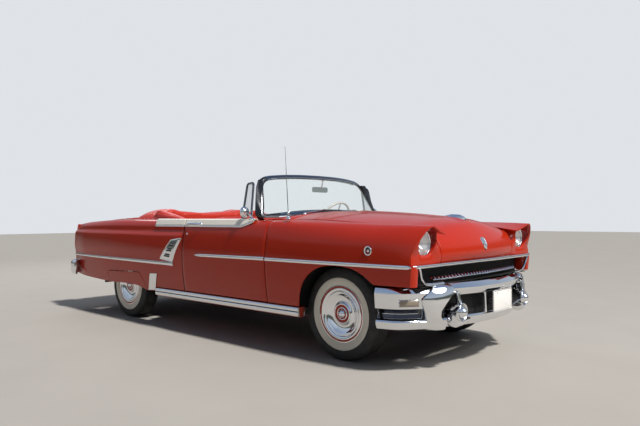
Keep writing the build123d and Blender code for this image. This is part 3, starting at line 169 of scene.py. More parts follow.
class Form:
    """Vertices and faces of one piece, with a material index for each face."""

    def __init__(self):
        self.verts, self.faces, self.mats = [], [], []
        self.mat = 0

    def face(self, indices):
        self.faces.append(tuple(indices))
        self.mats.append(self.mat)

    def grid(self, rows, close_u=False, close_v=False, cap=False):
        """Quads over rows of points; u runs along a row and v across rows."""
        base, nv, nu = len(self.verts), len(rows), len(rows[0])
        for row in rows:
            self.verts.extend(tuple(float(c) for c in p) for p in row)
        for j in range(nv if close_v else nv - 1):
            for i in range(nu if close_u else nu - 1):
                a, b = base + j * nu, base + (j + 1) % nv * nu
                k = (i + 1) % nu
                self.face((a + i, a + k, b + k, b + i))
        if cap:
            self.face([base + i for i in range(nu)][::-1])
            self.face([base + (nv - 1) * nu + i for i in range(nu)])
        return self

    def sheet(self, rows, thickness, outward, joined=None, level=False):
        """Grid with a thickness, its outer side roughly outward, without an end wall where it is joined."""
        p = np.array(rows, float)
        du = np.gradient(p, axis=1)
        dv = np.gradient(p, axis=0)
        n = np.cross(du, dv)
        if level:
            n[:, :, 0] = 0
        n /= np.maximum(np.linalg.norm(n, axis=2, keepdims=True), 1e-12)
        if np.sum(n @ np.array(outward, float)) < 0:
            n = -n
            p = p[:, ::-1]
            n = n[:, ::-1]
        inner = p - n * thickness
        nv, nu = p.shape[:2]
        base = len(self.verts)
        self.verts.extend(map(tuple, p.reshape(-1, 3)))
        self.verts.extend(map(tuple, inner.reshape(-1, 3)))
        off = nv * nu
        for j in range(nv - 1):
            for i in range(nu - 1):
                a, b = base + j * nu + i, base + (j + 1) * nu + i
                self.face((a, a + 1, b + 1, b))
                self.face((off + b, off + b + 1, off + a + 1, off + a))
        edge = ([(0, i) for i in range(nu)] + [(j, nu - 1) for j in range(1, nv)]
                + [(nv - 1, i) for i in range(nu - 2, -1, -1)] + [(j, 0) for j in range(nv - 2, 0, -1)])
        for (j, i), (j2, i2) in zip(edge, edge[1:] + edge[:1]):
            if joined and joined(p[j, i]) and joined(p[j2, i2]):
                continue
            a, b = base + j * nu + i, base + j2 * nu + i2
            self.face((b, a, off + a, off + b))
        return self

    def lathe(self, profile, centre, axis="y", sign=1, segments=64):
        """Turns rows of (along, radius) about an axis through the centre."""
        rows = []
        for k in range(segments):
            a = 2 * pi * k / segments
            row = []
            for u, r in profile:
                c, s = r * cos(a), r * sin(a)
                local = {"x": (sign * u, c, s), "y": (c, sign * u, s), "z": (c, s, sign * u)}[axis]
                row.append([centre[m] + local[m] for m in range(3)])
            rows.append(row)
        return self.grid(rows, close_v=True)

    def turned(self, points, count, centre, **options):
        """Turns a smooth curve through points of (along, radius)."""
        return self.lathe(curve_through(points, count), centre, **options)

    def tube(self, path, radius, sides=10, closed=False, squeeze=None, cap=True):
        """Bar along a path; radius is a number, a pair for an oval, or a list with one for each point."""
        p = [Vector(q) for q in path]
        n = len(p)
        rows = []
        normal = None
        for i in range(n):
            a = p[i - 1] if closed or i else p[0]
            b = p[(i + 1) % n] if closed or i < n - 1 else p[-1]
            t = (b - a).normalized()
            if normal is None:
                normal = t.orthogonal().normalized()
                if squeeze is not None:
                    normal = (Vector(squeeze) - t * t.dot(Vector(squeeze))).normalized()
            normal = (normal - t * t.dot(normal)).normalized()
            side = t.cross(normal)
            r = radius[i] if isinstance(radius, list) else radius
            r1, r2 = r if isinstance(r, tuple) else (r, r)
            rows.append([p[i] + normal * cos(2 * pi * k / sides) * r1
                         + side * sin(2 * pi * k / sides) * r2
                         for k in range(sides)])
        return self.grid(rows, close_u=True, close_v=closed, cap=cap and not closed)

    def box(self, low, high):
        x0, y0, z0 = low
        x1, y1, z1 = high
        rows = [[(x0, y0, z), (x1, y0, z), (x1, y1, z), (x0, y1, z)] for z in (z0, z1)]
        return self.grid(rows, close_u=True, cap=True)

    def prism(self, points, axis, low, high):
        """Prism of a 2-D outline along an axis, its own coordinates in x, y, z order."""
        def place(u, v, w):
            return {"x": (w, u, v), "y": (u, w, v), "z": (u, v, w)}[axis]
        rows = [[place(u, v, w) for u, v in points] for w in (low, high)]
        return self.grid(rows, close_u=True, cap=True)

    def add(self, other, shift=(0, 0, 0)):
        base = len(self.verts)
        self.verts.extend((x + shift[0], y + shift[1], z + shift[2]) for x, y, z in other.verts)
        self.faces.extend(tuple(base + i for i in f) for f in other.faces)
        self.mats.extend(other.mats)
        return self

    def moved(self, matrix):
        out = Form().add(self)
        out.verts = [tuple(matrix @ Vector(v)) for v in out.verts]
        return out

    def mirrored(self):
        out = Form().add(self)
        out.verts = [(x, -y, z) for x, y, z in out.verts]
        out.faces = [f[::-1] for f in out.faces]
        return out

    def both(self):
        return Form().add(self).add(self.mirrored())


def placed(name, data):
    """New object in the scene."""
    obj = bpy.data.objects.new(name, data)
    bpy.context.scene.collection.objects.link(obj)
    return obj


def make(name, form, materials, body, slot, replaces=(), bevel=0.0, segments=2, fix=True, angle=35):
    """Object from a form: bevelled, smoothed by angle, riding on a body."""
    mesh = bpy.data.meshes.new(name)
    mesh.from_pydata(form.verts, [], form.faces)
    mesh.update()
    bm = bmesh.new()
    bm.from_mesh(mesh)
    bm.faces.ensure_lookup_table()
    for f, m in zip(bm.faces, form.mats):
        f.material_index = m
    bmesh.ops.remove_doubles(bm, verts=bm.verts, dist=1e-6)
    if fix:
        bmesh.ops.recalc_face_normals(bm, faces=bm.faces)
    if bevel:
        edges = [e for e in bm.edges if len(e.link_faces) == 2 and e.calc_face_angle(0) > radians(angle)]
        bmesh.ops.bevel(bm, geom=edges, offset=bevel, segments=segments, profile=0.5, affect="EDGES",
                        clamp_overlap=True)
    bm.to_mesh(mesh)
    bm.free()
    for f in mesh.polygons:
        f.use_smooth = True
    mesh.set_sharp_from_angle(angle=radians(angle))
    for m in materials if isinstance(materials, (list, tuple)) else [materials]:
        mesh.materials.append(m)
    obj = placed(name, mesh)
    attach(obj, body)
    if replaces:
        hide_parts(*replaces)
    return obj


def pair(name, form, materials, bodies, slot, replaces=(), **options):
    """The left piece and its mirror image."""
    for side, body, shape in (("left", bodies[0], form), ("right", bodies[1], form.mirrored())):
        make(f"{name}_{side}", shape, materials, body, slot, [f"{r}_{side}" for r in replaces], **options)


# Materials


class Nodes:
    """A new material with its Principled shader and short ways to feed it."""

    def __init__(self, name, color, roughness, metallic=0.0, **inputs):
        self.material = bpy.data.materials.new(name)
        self.material.use_nodes = True
        self.tree = self.material.node_tree
        self.shader = self.tree.nodes["Principled BSDF"]
        self.shader.inputs["Base Color"].default_value = (*color[:3], 1)
        self.shader.inputs["Roughness"].default_value = roughness
        self.shader.inputs["Metallic"].default_value = metallic
        for key, value in inputs.items():
            self.shader.inputs[key.replace("_", " ")].default_value = value
        self.place = self.tree.nodes.new("ShaderNodeTexCoord").outputs["Object"]
        self.bump_out = None

    def node(self, kind, **values):
        n = self.tree.nodes.new(kind)
        for key, value in values.items():
            if hasattr(n, key):
                setattr(n, key, value)
            else:
                n.inputs[key.replace("_", " ")].default_value = value
        return n

    def link(self, a, b):
        self.tree.links.new(a, b)

    def noise(self, scale, detail=3.0, stretch=None):
        n = self.node("ShaderNodeTexNoise", Scale=scale, Detail=detail, Roughness=0.55)
        source = self.place
        if stretch:
            m = self.node("ShaderNodeMapping")
            m.inputs["Scale"].default_value = stretch
            self.link(self.place, m.inputs["Vector"])
            source = m.outputs["Vector"]
        self.link(source, n.inputs["Vector"])
        return n.outputs["Fac"]

    def ramp(self, source, stops):
        n = self.node("ShaderNodeValToRGB")
        ramp = n.color_ramp
        while len(ramp.elements) < len(stops):
            ramp.elements.new(0.5)
        for e, (at, value) in zip(ramp.elements, stops):
            e.position = at
            e.color = (*value, 1) if hasattr(value, "__len__") else (value, value, value, 1)
        self.link(source, n.inputs["Fac"])
        return n.outputs["Color"]

    def color(self, source):
        self.link(source, self.shader.inputs["Base Color"])
        return self

    def rough(self, source, low, high):
        n = self.node("ShaderNodeMapRange")
        n.inputs["To Min"].default_value = low
        n.inputs["To Max"].default_value = high
        self.link(source, n.inputs["Value"])
        self.link(n.outputs["Result"], self.shader.inputs["Roughness"])
        return self

    def bump(self, source, strength, distance=0.001):
        n = self.node("ShaderNodeBump", Strength=strength, Distance=distance)
        self.link(source, n.inputs["Height"])
        if self.bump_out is not None:
            self.link(self.bump_out, n.inputs["Normal"])
        self.bump_out = n.outputs["Normal"]
        self.link(self.bump_out, self.shader.inputs["Normal"])
        return self

    def mix(self, factor, a, b):
        """Colour a where the factor is 0 and b where it is 1; either can be a socket."""
        n = self.node("ShaderNodeMix", data_type="RGBA")
        self.link(factor, n.inputs["Factor"])
        for index, value in ((6, a), (7, b)):
            if hasattr(value, "__len__"):
                n.inputs[index].default_value = (*value[:3], 1)
            else:
                self.link(value, n.inputs[index])
        return n.outputs[2]

    def axis(self, name):
        n = self.node("ShaderNodeSeparateXYZ")
        self.link(self.place, n.inputs["Vector"])
        return n.outputs[name]

    def math(self, operation, a, b=None):
        n = self.node("ShaderNodeMath", operation=operation)
        for index, value in ((0, a), (1, b)):
            if value is None:
                continue
            if isinstance(value, (int, float)):
                n.inputs[index].default_value = value
            else:
                self.link(value, n.inputs[index])
        return n.outputs[0]


def paint(name, color, dusty=True):
    """Gloss enamel with faint mottling, orange peel and road dust near the ground."""
    m = Nodes(name, color, 0.3, Coat_Weight=0.5, Coat_Roughness=0.03, Specular_IOR_Level=0.10)
    deep = tuple(c * 0.86 for c in color)
    base = m.mix(m.noise(2.2, 4.0), color, deep)
    if dusty:
        height = m.node("ShaderNodeMapRange")
        height.inputs["From Min"].default_value = 0.62
        height.inputs["From Max"].default_value = 0.30
        height.inputs["To Max"].default_value = 0.22
        m.link(m.axis("Z"), height.inputs["Value"])
        dust = m.math("MULTIPLY", height.outputs["Result"], m.noise(9.0, 6.0))
        base = m.mix(dust, base, (0.30, 0.22, 0.17))
    m.color(base)
    m.rough(m.noise(40.0, 2.0), 0.24, 0.36)
    m.bump(m.noise(260.0, 2.0), 0.035, 0.0006)
    return m.material


def chrome(name, tint=(0.83, 0.84, 0.86), low=0.035, high=0.11):
    """Bright plating with faint polishing marks, haze and small pits."""
    m = Nodes(name, tint, 0.06, 1.0)
    haze = m.noise(14.0, 6.0)
    m.color(m.mix(haze, tint, tuple(c * 0.93 for c in tint)))
    m.rough(m.ramp(haze, [(0.35, 0.0), (0.75, 1.0)]), low, high)
    m.bump(m.noise(900.0, 2.0, (1.0, 0.15, 0.15)), 0.02, 0.0002)
    return m.material


def plain(name, color, roughness, grain=120.0, depth=0.15, variation=0.2, metallic=0.0, **inputs):
    """Painted, moulded or bare surface with grain and a little variation."""
    m = Nodes(name, color, roughness, metallic, **inputs)
    m.color(m.mix(m.noise(6.0, 5.0), color, tuple(c * (1 - variation) for c in color)))
    m.rough(m.noise(30.0, 3.0), roughness * 0.85, min(1.0, roughness * 1.2))
    m.bump(m.noise(grain, 4.0), depth, 0.0008)
    return m.material


def vinyl(name, color, depth=0.35):
    """Grained leathercloth with creases and worn high spots."""
    m = Nodes(name, color, 0.42, Specular_IOR_Level=0.45)
    cells = m.node("ShaderNodeTexVoronoi", Scale=420.0)
    m.link(m.place, cells.inputs["Vector"])
    shade = m.mix(m.noise(5.0, 5.0), color, tuple(c * 0.80 for c in color))
    m.color(m.mix(m.ramp(m.noise(60.0, 4.0), [(0.55, 0.0), (0.8, 0.35)]), shade,
                  tuple(min(1, c * 1.25) for c in color)))
    m.rough(m.noise(22.0, 4.0), 0.34, 0.55)
    m.bump(cells.outputs["Distance"], depth, 0.0006)
    m.bump(m.noise(11.0, 5.0), 0.25, 0.003)
    return m.material


def cloth(name, color, pitch=700.0):
    """Woven carpet or cloth: two crossed waves with fuzz."""
    m = Nodes(name, color, 0.9, Sheen_Weight=0.4)
    total = None
    for direction in ("X", "Y"):
        w = m.node("ShaderNodeTexWave", wave_type="BANDS", bands_direction=direction, Scale=pitch,
                   Distortion=1.5)
        m.link(m.place, w.inputs["Vector"])
        total = w.outputs["Fac"] if total is None else m.math("MAXIMUM", total, w.outputs["Fac"])
    m.color(m.mix(m.noise(45.0, 6.0), color, tuple(c * 0.6 for c in color)))
    m.bump(total, 0.5, 0.001)
    m.bump(m.noise(600.0, 3.0), 0.4, 0.001)
    return m.material


def glass(name, tint, alpha):
    """Thin clear pane: mostly see-through with a clean reflection."""
    m = Nodes(name, tint, 0.02, Alpha=alpha, Coat_Weight=0.6)
    m.shader.inputs["IOR"].default_value = 1.5
    m.rough(m.noise(18.0, 3.0), 0.01, 0.05)
    return m.material


RED = paint("body_enamel", (0.47, 0.024, 0.006))
# Darker red: painted shade in the lamp recesses, and a painted reflection on the thin bar under the grille
# teeth.
SHADE_AND_REFLECTION_RED = paint("painted_shade_and_reflection_enamel", (0.30, 0.012, 0.008), dusty=False)
CHROME = chrome("bright_plating")
CHROME_SOFT = chrome("satin_plating", (0.72, 0.73, 0.75), 0.16, 0.32)
BLACK = plain("chassis_black", (0.018, 0.018, 0.018), 0.6, variation=0.4)
# Near black for the wheel houses, the grille opening and the space between the bumper bars: painted shade.
SHADE_BLACK = plain("painted_shade_black", (0.008, 0.008, 0.009), 0.8, variation=0.5)
ENGINE = plain("engine_enamel", (0.28, 0.03, 0.02), 0.45)
STEEL = plain("exhaust_bare", (0.25, 0.23, 0.21), 0.5, metallic=0.8)
RUBBER = plain("trim_rubber", (0.02, 0.02, 0.02), 0.75, grain=300.0)
WHITE_PAINT = plain("belt_white", (0.90, 0.88, 0.80), 0.3, depth=0.05, variation=0.06, Coat_Weight=0.8)
PLATE_WHITE = plain("plate_white", (0.88, 0.88, 0.87), 0.4, depth=0.05, variation=0.04)
SEAT_RED = vinyl("seat_red_vinyl", (0.44, 0.028, 0.018))
SEAT_WHITE = vinyl("seat_white_vinyl", (0.74, 0.70, 0.62))
BOOT_RED = vinyl("boot_red_cloth", (0.60, 0.040, 0.022), 0.5)
CARPET = cloth("floor_carpet", (0.16, 0.015, 0.012))
IVORY = plain("wheel_ivory", (0.88, 0.86, 0.80), 0.2, depth=0.03, variation=0.05, Coat_Weight=1.0)
# Dark plating and dark trim for the windshield frame, pillars and vent frames: painted dark reflection.
REFLECTION_SMOKE_PLATING = chrome("painted_reflection_windshield_plating", (0.20, 0.21, 0.23), 0.05, 0.14)
REFLECTION_DARK_TRIM = plain("painted_reflection_windshield_trim", (0.055, 0.058, 0.065), 0.22, depth=0.05, metallic=0.9)
GLASS = glass("clear_pane", (0.50, 0.64, 0.66), 0.17)
LENS = glass("lamp_lens", (0.95, 0.97, 0.98), 0.42)
RED_LENS = Nodes("red_lens", (0.55, 0.008, 0.006), 0.12, Coat_Weight=1.0)
RED_LENS.bump(RED_LENS.noise(160.0, 1.0), 0.3, 0.001)
RED_LENS = RED_LENS.material
AMBER_LENS = plain("parking_lens", (0.30, 0.25, 0.19), 0.12, grain=220.0, depth=0.4, Coat_Weight=1.0)


def tyre_material():
    """Black rubber with faint dust."""
    m = Nodes("tyre_rubber", (0.022, 0.022, 0.023), 0.72)
    m.color(m.mix(m.ramp(m.noise(24.0, 5.0), [(0.4, 0.0), (0.9, 0.6)]), (0.018, 0.018, 0.019),
                  (0.06, 0.055, 0.05)))
    m.rough(m.noise(60.0, 3.0), 0.6, 0.85)
    m.bump(m.noise(500.0, 3.0), 0.2, 0.0006)
    return m.material


TYRE = tyre_material()
WHITEWALL = plain("whitewall_rubber", (0.74, 0.71, 0.62), 0.5, grain=260.0, depth=0.12, variation=0.10)


# Body surface


def raw_side(row, z):
    """Body side from sill to crest as straight spans with a little bow."""
    _, sill, waist, crease, crease_z, crest, crest_z, _, _ = row
    spans = ((sill, SILL_Z, waist, WAIST_Z, 0.008), (waist, WAIST_Z, crease, crease_z, 0.004),
             (crease, crease_z, crest, crest_z, 0.006))
    for y0, z0, y1, z1, bow in spans:
        if z <= z1 or y1 == crest:
            t = (z - z0) / (z1 - z0)
            return y0 + (y1 - y0) * t + bow * 4 * max(0.0, t) * (1 - t) * (1 if 0 <= t <= 1 else 0)


def side_y(x, z, soft=0.045):
    """Outer face of the body side, its crease rounded off."""
    row = spline(SIDE, x)
    taps = (-1, -0.66, -0.33, 0, 0.33, 0.66, 1)
    return sum(raw_side(row, z + t * soft) for t in taps) / len(taps)


def top_at(row, y):
    """Top of a fender or quarter between its crest and its seam, slightly hollow."""
    _, _, _, _, _, crest, crest_z, seam, seam_z = row
    t = (crest - y) / (crest - seam)
    return crest_z + (seam_z - crest_z) * t - 0.004 * 4 * t * (1 - t)


CREST_DOWN = 0.050
CREST_IN = 0.055


def section(x, low, seam=None, counts=(16, 8, 10)):
    """Points y, z from the low edge up the side, over the crest and in to the seam."""
    row = spline(SIDE, x)
    crest, crest_z = row[5], row[6]
    start = crest_z - CREST_DOWN
    low = min(low, start - 0.02)
    points = [(side_y(x, z), z) for z in np.linspace(low, start, counts[0])]
    p0, p1 = points[-1], (crest - 0.002, crest_z + 0.001)
    p2 = (crest - CREST_IN, top_at(row, crest - CREST_IN))
    for t in np.linspace(0, 1, counts[1] + 1)[1:]:
        points.append(tuple((1 - t) ** 2 * a + 2 * t * (1 - t) * b + t * t * c for a, b,
                            c in zip(p0, p1, p2)))
    seam = row[7] if seam is None else seam
    for y in np.linspace(p2[0], seam, counts[2])[1:]:
        points.append((y, top_at(row, y)))
    return points


def pontoon(x, z):
    """How far the raised band on the quarter stands out at x and z."""
    edge = -0.268 + (z - 0.60) * (0.144 / 0.28)
    along = 1 - step(edge - 0.050, edge + 0.004, x)
    up = step(0.650, 0.760, z) * (1 - step(0.905, 0.934, z)) - 0.42 * step(0.915, 0.940,
                                                                           z) * (1 - step(0.95, 1.00, z))
    return 0.0125 * along * up


# Front wheel opening, from its rear foot over to its front end.
FRONT_ARCH = [(1.398, 0.380), (1.418, 0.480), (1.470, 0.585), (1.545, 0.655), (1.640, 0.700),
              (1.751, 0.717),
              (1.860, 0.716), (1.965, 0.698), (2.045, 0.662), (2.105, 0.620), (2.128, FENDER_LOW)]
ARCH_LINE = curve_through(FRONT_ARCH, 40)


def visor_x(z):
    """Front edge of the fender in side view."""
    if z < WAIST_Z:
        return 2.412 + 0.012 * (z - FENDER_LOW) / (WAIST_Z - FENDER_LOW)
    if z < 0.811:
        return 2.424 - 0.008 * (z - WAIST_Z) / (0.811 - WAIST_Z)
    return 2.416 + 0.087 * min(1.0, (z - 0.811) / 0.216)


FENDER_END = 2.46


def front_fender():
    """Outer skin of the left front fender with its wheel opening and flared front edge."""
    xs = list(np.linspace(FENDER_REAR, ARCH_LINE[0][0], 14))
    lows = [SILL_Z] * len(xs)
    for x, z in ARCH_LINE[1:]:
        xs.append(x)
        lows.append(z)
    ahead = np.linspace(ARCH_LINE[-1][0], FENDER_END, 20)[1:]
    xs.extend(ahead)
    lows.extend([FENDER_LOW] * len(ahead))
    rows = []
    for x, low in zip(xs, lows):
        share = step(2.20, FENDER_END, x)
        row = []
        for i, (_, z) in enumerate(section(x, low)):
            x2 = x + (visor_x(z) - FENDER_END) * share
            row.append((x2, *section(x2, low)[i]))
        rows.append(row)
    skin = Form().sheet(rows, SHEET, (0, 1, 0.3))
    return skin, rows[-1]


def seam_x(z):
    """Front of the nose at the hood seam."""
    return at_x([(seam_z, x) for _, _, x, seam_z, _ in HOOD[3:]][::-1], z)


POD_POINTS = 96
LIP = 0.006
BEZEL_RADIUS = 0.088
LAMP_RIM = [(0, 0.118), (40, 0.124), (70, 0.136), (90, 0.138), (115, 0.136), (150, 0.124), (180, 0.112),
            (225, 0.098), (270, 0.084), (315, 0.098)]


def rim_radius(angle):
    """Radius of the lamp opening at an angle in degrees from outboard, up being 90."""
    return at_x(LAMP_RIM + [(LAMP_RIM[0][0] + 360, LAMP_RIM[0][1])], angle % 360)


def lamp_pod(edge):
    """Front of the fender: lip, rim and recess of the lamp, out to the edge of the skin and the seam."""
    _, cy, cz = LAMP
    loop = [(y, z) for _, y, z in edge if z > 0.745]
    inner = [(0.557, z) for z in np.linspace(loop[-1][1] - 0.004, 0.748, 12)]
    foot = [(y, 0.746) for y in np.linspace(LID_SEAM_Y, loop[0][0] - 0.004, 14)]
    table = sorted((degrees_of(y - cy, z - cz), hypot(y - cy, z - cz)) for y, z in loop + inner + foot)
    table = [(table[-1][0] - 360, table[-1][1])] + table + [(table[0][0] + 360, table[0][1])]

    def front(y, z):
        """Front of the body at y, z, from the nose's seam out to the fender's edge."""
        return seam_x(z) + (visor_x(z) - seam_x(z)) * step(0.560, 0.665, y)

    rings = [[] for _ in range(9)]
    for a in np.arange(POD_POINTS) * 360.0 / POD_POINTS:
        reach = at_x(table, a)
        c, s = cos(radians(a)), sin(radians(a))
        rim = min(rim_radius(a), reach - 0.010)

        def point(r, back):
            y, z = cy + c * r, cz + s * r
            return (front(y, z) - back, y, z)

        margin = reach - rim
        lip = ((reach, 0.0005), (reach - margin * 0.30, -LIP * 0.3), (reach - margin * 0.70, -LIP * 0.5),
               (rim, 0.000), (rim - 0.004, 0.007))
        for ring, (r, back) in zip(rings, lip):
            ring.append(point(r, back))
        fx = point(rim, 0)[0]
        for ring, t in zip(rings[5:], (0.0, 0.55, 0.85, 1.0)):
            r = (rim - 0.006) + (BEZEL_RADIUS - rim + 0.006) * t
            x = (fx - 0.030) + (2.392 - fx + 0.030) * t
            ring.append((min(x, fx - 0.012), cy + c * r, cz + s * r))
    form = Form()
    form.grid(rings[:5], close_u=True)
    # The recess from the rim back to the bezel is darker red as painted shade.
    form.mat = 1
    form.grid(rings[4:], close_u=True)
    return form


def degrees_of(u, v):
    return (atan2(v, u) * 180 / pi) % 360


def wheel_liner(x, radius, y0, y1, low, ahead=0.0):
    """Inner wheel house over a wheel, near black as painted shade."""
    rows = []
    for a in np.linspace(0, pi, 33):
        px, pz = x + ahead + cos(a) * radius, WHEEL_Z + sin(a) * radius
        rows.append([(px, y, pz) for y in (y0, (y0 + y1) / 2, y1)])
    rows = [[(p[0], p[1], low) for p in rows[0]]] + rows + [[(p[0], p[1], low) for p in rows[-1]]]
    return Form().sheet(rows, 0.004, (0, 0, 1))


def front_end():
    skin, edge = front_fender()
    pod = lamp_pod(edge)
    pod.mat = 0
    # Corner below the lip moulding, from the skin's front edge in to the grille opening.
    corner = []
    for z in np.linspace(FENDER_LOW, 0.742, 8):
        y0 = side_y(2.412, z)
        x0 = visor_x(z)
        corner.append([(x0 - 0.0005, y0, z), (x0 + 0.012, y0 - 0.012, z), (x0 + 0.020, y0 - 0.035, z),
                       (x0 + 0.016, y0 - 0.062, z), (x0 - 0.010, y0 - 0.074, z),
                       (x0 - 0.070, y0 - 0.080, z)])
    pod.grid(corner[::-1])
    shelf = [[(2.30 + 0.12 * t, y, 0.743) for t in (0, 0.5, 1)] for y in np.linspace(0.56, 0.90, 6)]
    pod.grid(shelf)
    pair("front_fender_skin", skin, RED, SAME_BODY, "body_red", ["front_fender"], bevel=0.0025)
    pair("lamp_pod", pod, [RED, SHADE_AND_REFLECTION_RED], SAME_BODY, "body_red", angle=50)
    liner = wheel_liner(FRONT_AXLE, 0.420, 0.585, 0.905, 0.40, ahead=0.010)
    liner.sheet([[(x, 0.586, z) for x in (1.33, 1.75, 2.16)] for z in (0.695, 0.80, 0.93)], 0.004,
                (0, 1, 0))
    liner.sheet([[(2.155 + t * 0.02, y, 0.44 + t * 0.28) for y in (0.47, 0.65, 0.815)]
                 for t in (0, 0.5, 1)], 0.004, (-1, 0, 0))
    pair("front_wheel_house", liner, SHADE_BLACK, SAME_BODY, "frame_black")


# Doors


def door():
    """Left door: outer skin over the crest and down the inside, as one closed shell."""
    loops = []
    for x in np.linspace(DOOR_REAR, DOOR_FRONT, 26):
        outer = section(x, SILL_Z + 0.002, seam=DOOR_SEAM_Y, counts=(20, 8, 4))
        top = outer[-1][1]
        down = [top - 0.02, *np.linspace(top - 0.12, SILL_Z + 0.002, 6)]
        loops.append([(x, y, z) for y, z in outer + [(DOOR_INNER_Y, z) for z in down]])
    # The rear edge leans forward inboard, to clear the quarter.
    loops[0] = [(x + (0.957 - y) * 0.10, y, z) for x, y, z in loops[0]]
    return Form().grid(loops, close_u=True, cap=True)


def flute(x, z, start, foot, head):
    """Depth of a trim panel's flutes from a start, fading in over foot and out over head."""
    return 0.004 * step(*foot, z) * (1 - step(*head, z)) * abs(sin((x - start) / 0.05 * pi))


def door_inside():
    """Inner door panel: carpet kick strip, pleated insert, armrest, handles and bright strips."""
    y = DOOR_PANEL_Y
    form = Form()
    x0, x1 = DOOR_REAR + 0.035, DOOR_FRONT - 0.035
    rows = []
    for z in np.linspace(0.56, 1.035, 34):
        rows.append([(x, y - 0.010 - flute(x, z, x0, (0.62, 0.66), (0.84, 0.88)), z)
                     for x in np.linspace(x0, x1, 90)])
    form.sheet(rows, 0.008, (0, -1, 0))
    form.mat = 1
    rows = [[(x, y - 0.008, z) for x in np.linspace(x0, x1, 12)] for z in (0.41, 0.48, 0.55)]
    form.sheet(rows, 0.006, (0, -1, 0))
    form.mat = 2
    for z in (0.556, 0.872):
        form.tube([(x0, y - 0.012, z), (x1, y - 0.012, z)], (0.006, 0.004), 8, squeeze=(0, 0, 1))
    form.tube(curve_through([(0.60, y - 0.012, 0.93), (0.60, y - 0.050, 0.93), (0.68, y - 0.056, 0.925),
                             (0.74, y - 0.052, 0.92)], 14), 0.006, 8)
    form.tube(curve_through([(0.30, y - 0.012, 0.91), (0.30, y - 0.046, 0.91), (0.27, y - 0.052, 0.86),
                             (0.25, y - 0.052, 0.82)], 14), 0.006, 8)
    form.lathe([(0.0, 0.0), (0.0, 0.022), (0.010, 0.020), (0.014, 0.0)], (0.60, y - 0.010, 0.93),
               sign=-1, segments=20)
    form.lathe([(0.0, 0.0), (0.0, 0.022), (0.010, 0.020), (0.014, 0.0)], (0.30, y - 0.010, 0.91),
               sign=-1, segments=20)
    form.mat = 3
    arm = []
    for x, half, out in ((0.14, 0.006, 0.010), (0.17, 0.020, 0.040), (0.30, 0.024, 0.062),
                         (0.48, 0.022, 0.056), (0.56, 0.010, 0.018)):
        arm.append([(x, y - 0.006 - out * (0.5 - 0.5 * cos(a)), 0.755 + half * sin(a))
                    for a in np.linspace(0, 2 * pi, 16, endpoint=False)])
    form.grid(arm, close_u=True, cap=True)
    return form


# Rear quarter


def quarter_low(x):
    """Lower edge of the quarter, up and over the skirt."""
    pts = [(-2.52, 0.418), (-2.30, 0.400), (-2.00, 0.386), (-1.70, 0.376), (-1.583, 0.372),
           (-1.5815, 0.480), (-1.560, 0.497), (-1.530, 0.503), (-0.915, 0.520), (-0.900, 0.516),
           (-0.875, 0.496), (-0.800, 0.400), (-0.752, 0.346), (-0.740, 0.339),
           (-0.612, 0.345), (-0.600, QUARTER_LOW), (-0.10, QUARTER_LOW)]
    return at_x(pts, x)


def tail_edge(z):
    """Rear edge of the quarter in side view."""
    return at_x([(0.40, -2.482), (0.735, -2.499), (0.922, -2.496), (0.985, -2.484), (1.03, -2.468)], z)


def quarter_rows(x0, x1, seam, count, tail=False, extra=()):
    """Sections of the quarter from x0 to x1, its end rounded in side view at the tail."""
    counts = (44, 8, 10)
    rows = []
    for x in sorted(list(np.linspace(x0, x1, count)) + list(extra)):
        share = (1 - step(-2.50, -2.30, x)) if tail else 0.0
        low = quarter_low(x)
        base = section(x, low, seam=seam, counts=counts)
        row = []
        for i, (y, z) in enumerate(base):
            x2 = x + (tail_edge(z) + 2.50) * share
            y2, z2 = section(x2, low, seam=seam, counts=counts)[i] if share else (y, z)
            row.append((x2, y2 + (pontoon(x2, z2) if i < counts[0] + 2 else 0.0), z2))
        rows.append(row)
    return rows


def rear_quarter():
    form = Form()
    bends = (-1.583, -1.5815, -1.572, -1.560, -1.545, -0.915, -0.900, -0.875, -0.845, -0.822, -0.800,
             -0.770, -0.752, -0.740, -0.612, -0.600)

    def joined(p):
        return p[1] > 0.845 and min(abs(p[0] - DECK_REAR), abs(p[0] - CABIN_REAR)) < 1e-6

    for x0, x1, seam, count, tail in ((TAIL_X, DECK_REAR, LID_SEAM_Y, 52, True),
                                      (DECK_REAR, CABIN_REAR, DECK_SEAM_Y, 36, False),
                                      (CABIN_REAR, QUARTER_FRONT, CABIN_SEAM_Y, 70, False)):
        extra = [b for b in bends if x0 < b < x1]
        rows = quarter_rows(x0, x1, seam, count=count, tail=tail, extra=extra)
        form.sheet(rows, SHEET, (0, 1, 0.3), joined, True)
    # Door jamb, closed end of the tail behind the lamp, and inner cabin wall.
    jamb = section(QUARTER_FRONT, QUARTER_LOW, seam=CABIN_SEAM_Y)
    form.grid([[(QUARTER_FRONT, y, z) for y, z in jamb],
               [(QUARTER_FRONT, CABIN_WALL_Y, z) for y, z in jamb]])
    edge = quarter_rows(TAIL_X, TAIL_X + 0.01, LID_SEAM_Y, count=2, tail=True)[0]

    def inboard(y, share):
        return LID_SEAM_Y + (y - LID_SEAM_Y) * share

    lip = [(x - 0.001, y - 0.004, z) for x, y, z in edge]
    mid = [(x - 0.002, inboard(y, 0.6), TAIL_LOW + max(z - TAIL_LOW, 0) * 0.98) for x, y, z in edge]
    inner = [(x + 0.004, inboard(y, 0.03), max(min(z, 1.006), TAIL_LOW)) for x, y, z in edge]
    form.grid([edge, lip, mid, inner])
    wall = [[(x, CABIN_WALL_Y, z) for x in np.linspace(CABIN_REAR, QUARTER_FRONT, 5)]
            for z in (QUARTER_LOW, 0.7, 1.03)]
    form.sheet(wall, 0.006, (0, -1, 0))
    return form


SKIRT_LOW = [(-1.58, 0.371), (-1.30, 0.379), (-1.108, 0.381), (-0.95, 0.372), (-0.84, 0.352),
             (-0.757, 0.334)]


